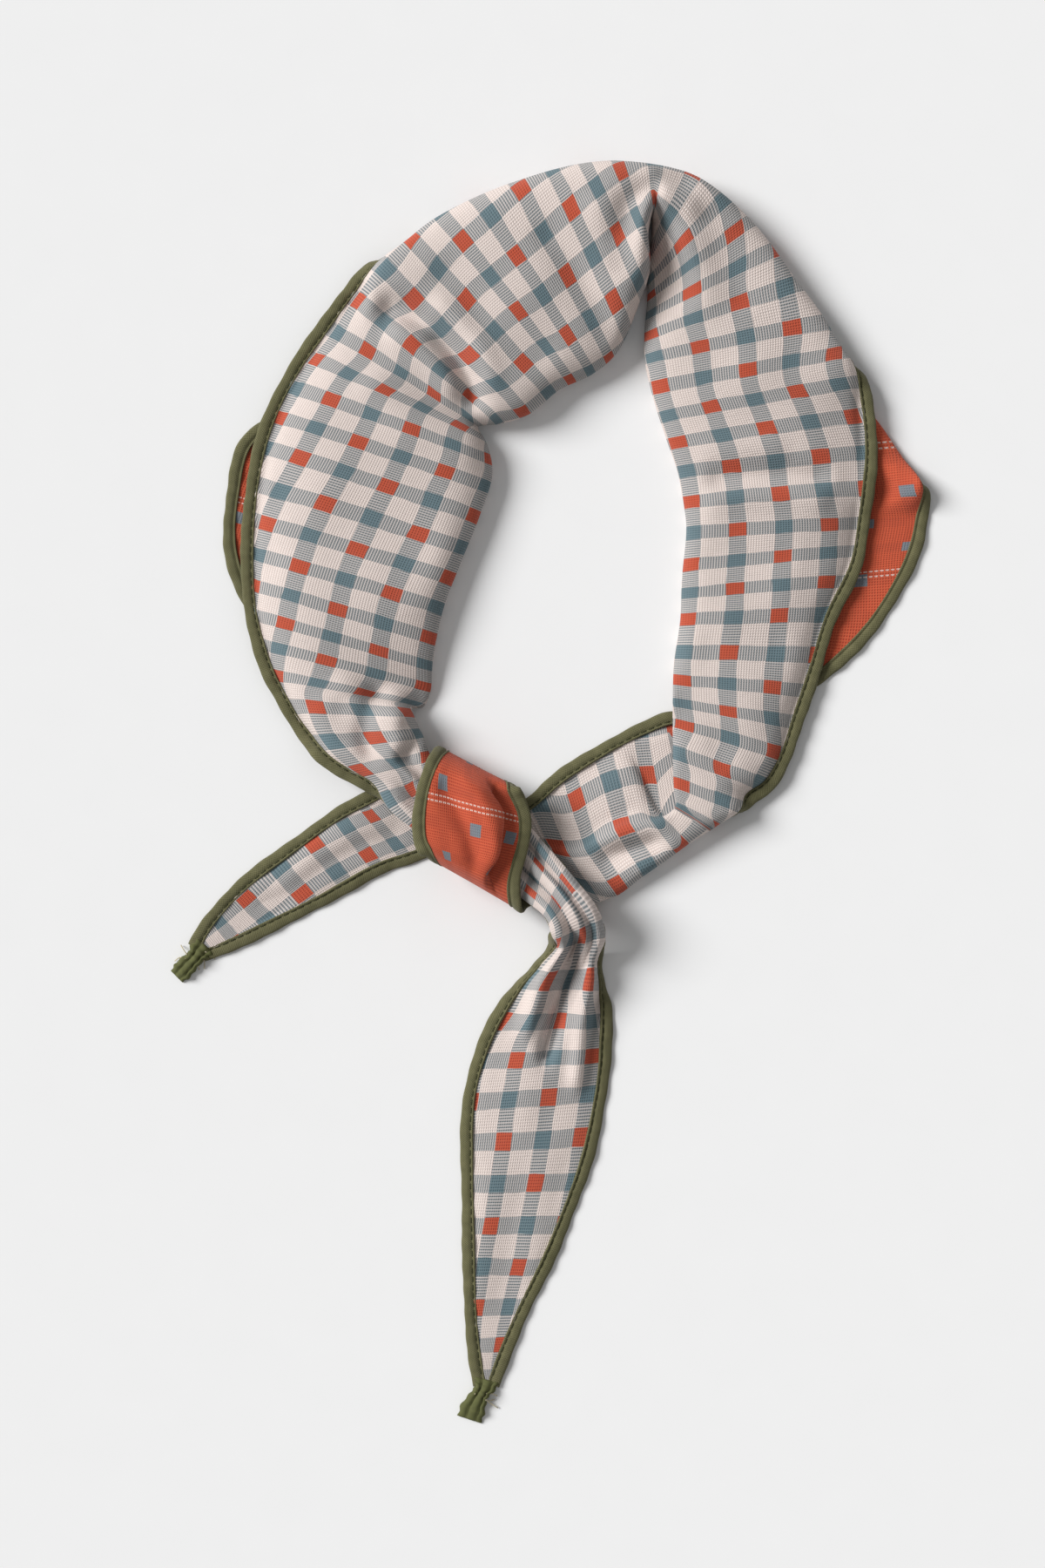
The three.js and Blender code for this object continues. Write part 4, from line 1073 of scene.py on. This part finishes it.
def make_tape_cotton():
    """Folded cotton bias tape: dense olive plain weave cut on the slant, so its threads run
    diagonally."""
    material, tree = new_material("olive_bias_tape")
    across, along = flat_coordinates(tree)
    one = thread_wave(tree, maths(tree, "ADD", across, along), TAPE_THREAD_PITCH)
    other = thread_wave(tree, maths(tree, "SUBTRACT", across, along), TAPE_THREAD_PITCH)
    relief = maths(tree, "MAXIMUM", one, other)
    colour = mixed(tree, one, srgb("#62603F"), srgb("#84805F"))
    uneven = noise(tree, across, along, 3, detail=4.0)
    colour = mixed(tree, maths(tree, "MULTIPLY", uneven, 0.7), colour, srgb("#3F3F26"))
    return finish_material(material, tree, colour, 0.88, relief, TAPE_RELIEF,
                           Sheen_Weight=0.1, Sheen_Roughness=0.5)


def make_plain_thread(name, dark, light):
    """Spun cotton thread, a little uneven in colour. It has no UV map, so it uses its place."""
    material, tree = new_material(name)
    place = add_node(tree, "ShaderNodeTexCoord")
    spots = add_node(tree, "ShaderNodeTexNoise", Vector=place.outputs["Object"],
                     Scale=1 / (1.5 * MM), Detail=3.0)
    colour = mixed(tree, spots.outputs[0], srgb(dark), srgb(light))
    return finish_material(material, tree, colour, 0.85, spots.outputs[0], 0.1 * MM)


def make_floor_paper():
    """The plain pale studio floor."""
    material, tree = new_material("pale_paper_floor")
    place = add_node(tree, "ShaderNodeTexCoord")
    grain = add_node(tree, "ShaderNodeTexNoise", Vector=place.outputs["Object"], Scale=60.0)
    colour = mixed(tree, grain.outputs[0], srgb("#F3F3F3"), srgb("#F1F1F1"))
    return finish_material(material, tree, colour, 1.0, grain.outputs[0], 0.001 * MM)


# Studio.

PHOTO_SIZE = (1200, 1800)
CAMERA_LENS = 85.0
SENSOR_HEIGHT = 36.0
SUN_ENERGY = 3.65
SUN_ANGLE = math.radians(28)  # as wide as a window, for soft shadows
SUN_DIRECTION = (1.3, -0.55, -1.0)
SKY_STRENGTH = 0.3
FLOOR_REACH = 12  # metres from the middle, so that the floor fills every view


def make_camera():
    """Straight above, with the photo's frame on the floor."""
    x, y = on_plan((PHOTO_SIZE[0] / 2, PHOTO_SIZE[1] / 2))
    data = bpy.data.cameras.new("camera")
    data.sensor_fit = "VERTICAL"
    data.sensor_height = SENSOR_HEIGHT
    data.lens = CAMERA_LENS
    camera = bpy.data.objects.new("camera", data)
    height = PHOTO_SIZE[1] * PLAN_UNIT * CAMERA_LENS / SENSOR_HEIGHT
    camera.location = (x, y, height)
    data.clip_end = 10
    bpy.context.scene.collection.objects.link(camera)
    bpy.context.scene.camera = camera


def make_window_light():
    """Even light from the upper left, wide enough for soft shadows."""
    data = bpy.data.lights.new("key", "SUN")
    data.energy = SUN_ENERGY
    data.angle = SUN_ANGLE
    light = bpy.data.objects.new("key", data)
    light.rotation_euler = Vector(SUN_DIRECTION).to_track_quat("-Z", "Y").to_euler()
    bpy.context.scene.collection.objects.link(light)


def make_studio():
    """The floor, the camera, the light and the pale surroundings."""
    sides = ((-1, -1), (1, -1), (1, 1), (-1, 1))
    corners = [(x * FLOOR_REACH, y * FLOOR_REACH, 0) for x, y in sides]
    floor = new_object("floor", corners, [(0, 1, 2, 3)], [make_floor_paper()])
    make_camera()
    make_window_light()
    world = bpy.data.worlds.new("studio")
    world.use_nodes = True
    sky = world.node_tree.nodes["Background"]
    sky.inputs[0].default_value = srgb("#FFFFFF")
    sky.inputs[1].default_value = SKY_STRENGTH
    bpy.context.scene.world = world
    bpy.context.scene.view_settings.view_transform = "Standard"


def make_neckerchief():
    check, reverse = make_check_gauze(), make_reverse_gauze()
    tape_cotton = make_tape_cotton()
    sewing_thread = make_plain_thread("olive_sewing_thread", "#2C2D1A", "#424329")
    folded_tape = make_plain_thread("olive_folded_tape", "#4E5132", "#66683F")
    frayed_thread = make_plain_thread("pale_frayed_thread", "#9A8E6A", "#D8CFB8")

    surface, positions = cloth_surface()
    upper = share_on_top(surface, positions)
    surface = add_creases(surface, positions, upper)
    surface = add_slack(surface, upper)
    surface[..., 2] = np.maximum(surface[..., 2], CLOTH_THICKNESS / 2)
    normals = normals_of(surface)
    gauze = make_cloth(surface, normals, [check, reverse])
    sewn_on = []
    edges = (("tape_first", "tape_outer", 0, -1), ("tape_second", "tape_inner", -1, 1))
    for name, node, column, side in edges:
        tape, path = make_tape(name, surface, normals, column, side, tape_cotton)
        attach(tape, "root")
        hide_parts(node)
        stitches = make_stitches(name + "_stitches", path, side, sewing_thread)
        sewn_on += [tape, stitches]
    for tip, node in (("left_tip", "tip_left"), ("down_tip", "tip_down")):
        piece = make_tip(tip, folded_tape)
        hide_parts(node)
        threads = make_threads(tip + "_threads", tip, frayed_thread)
        sewn_on += [piece, threads]
    for piece in sewn_on:
        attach(piece, "root")
    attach(gauze, "root")
    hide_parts("cloth")


make_studio()
make_neckerchief()
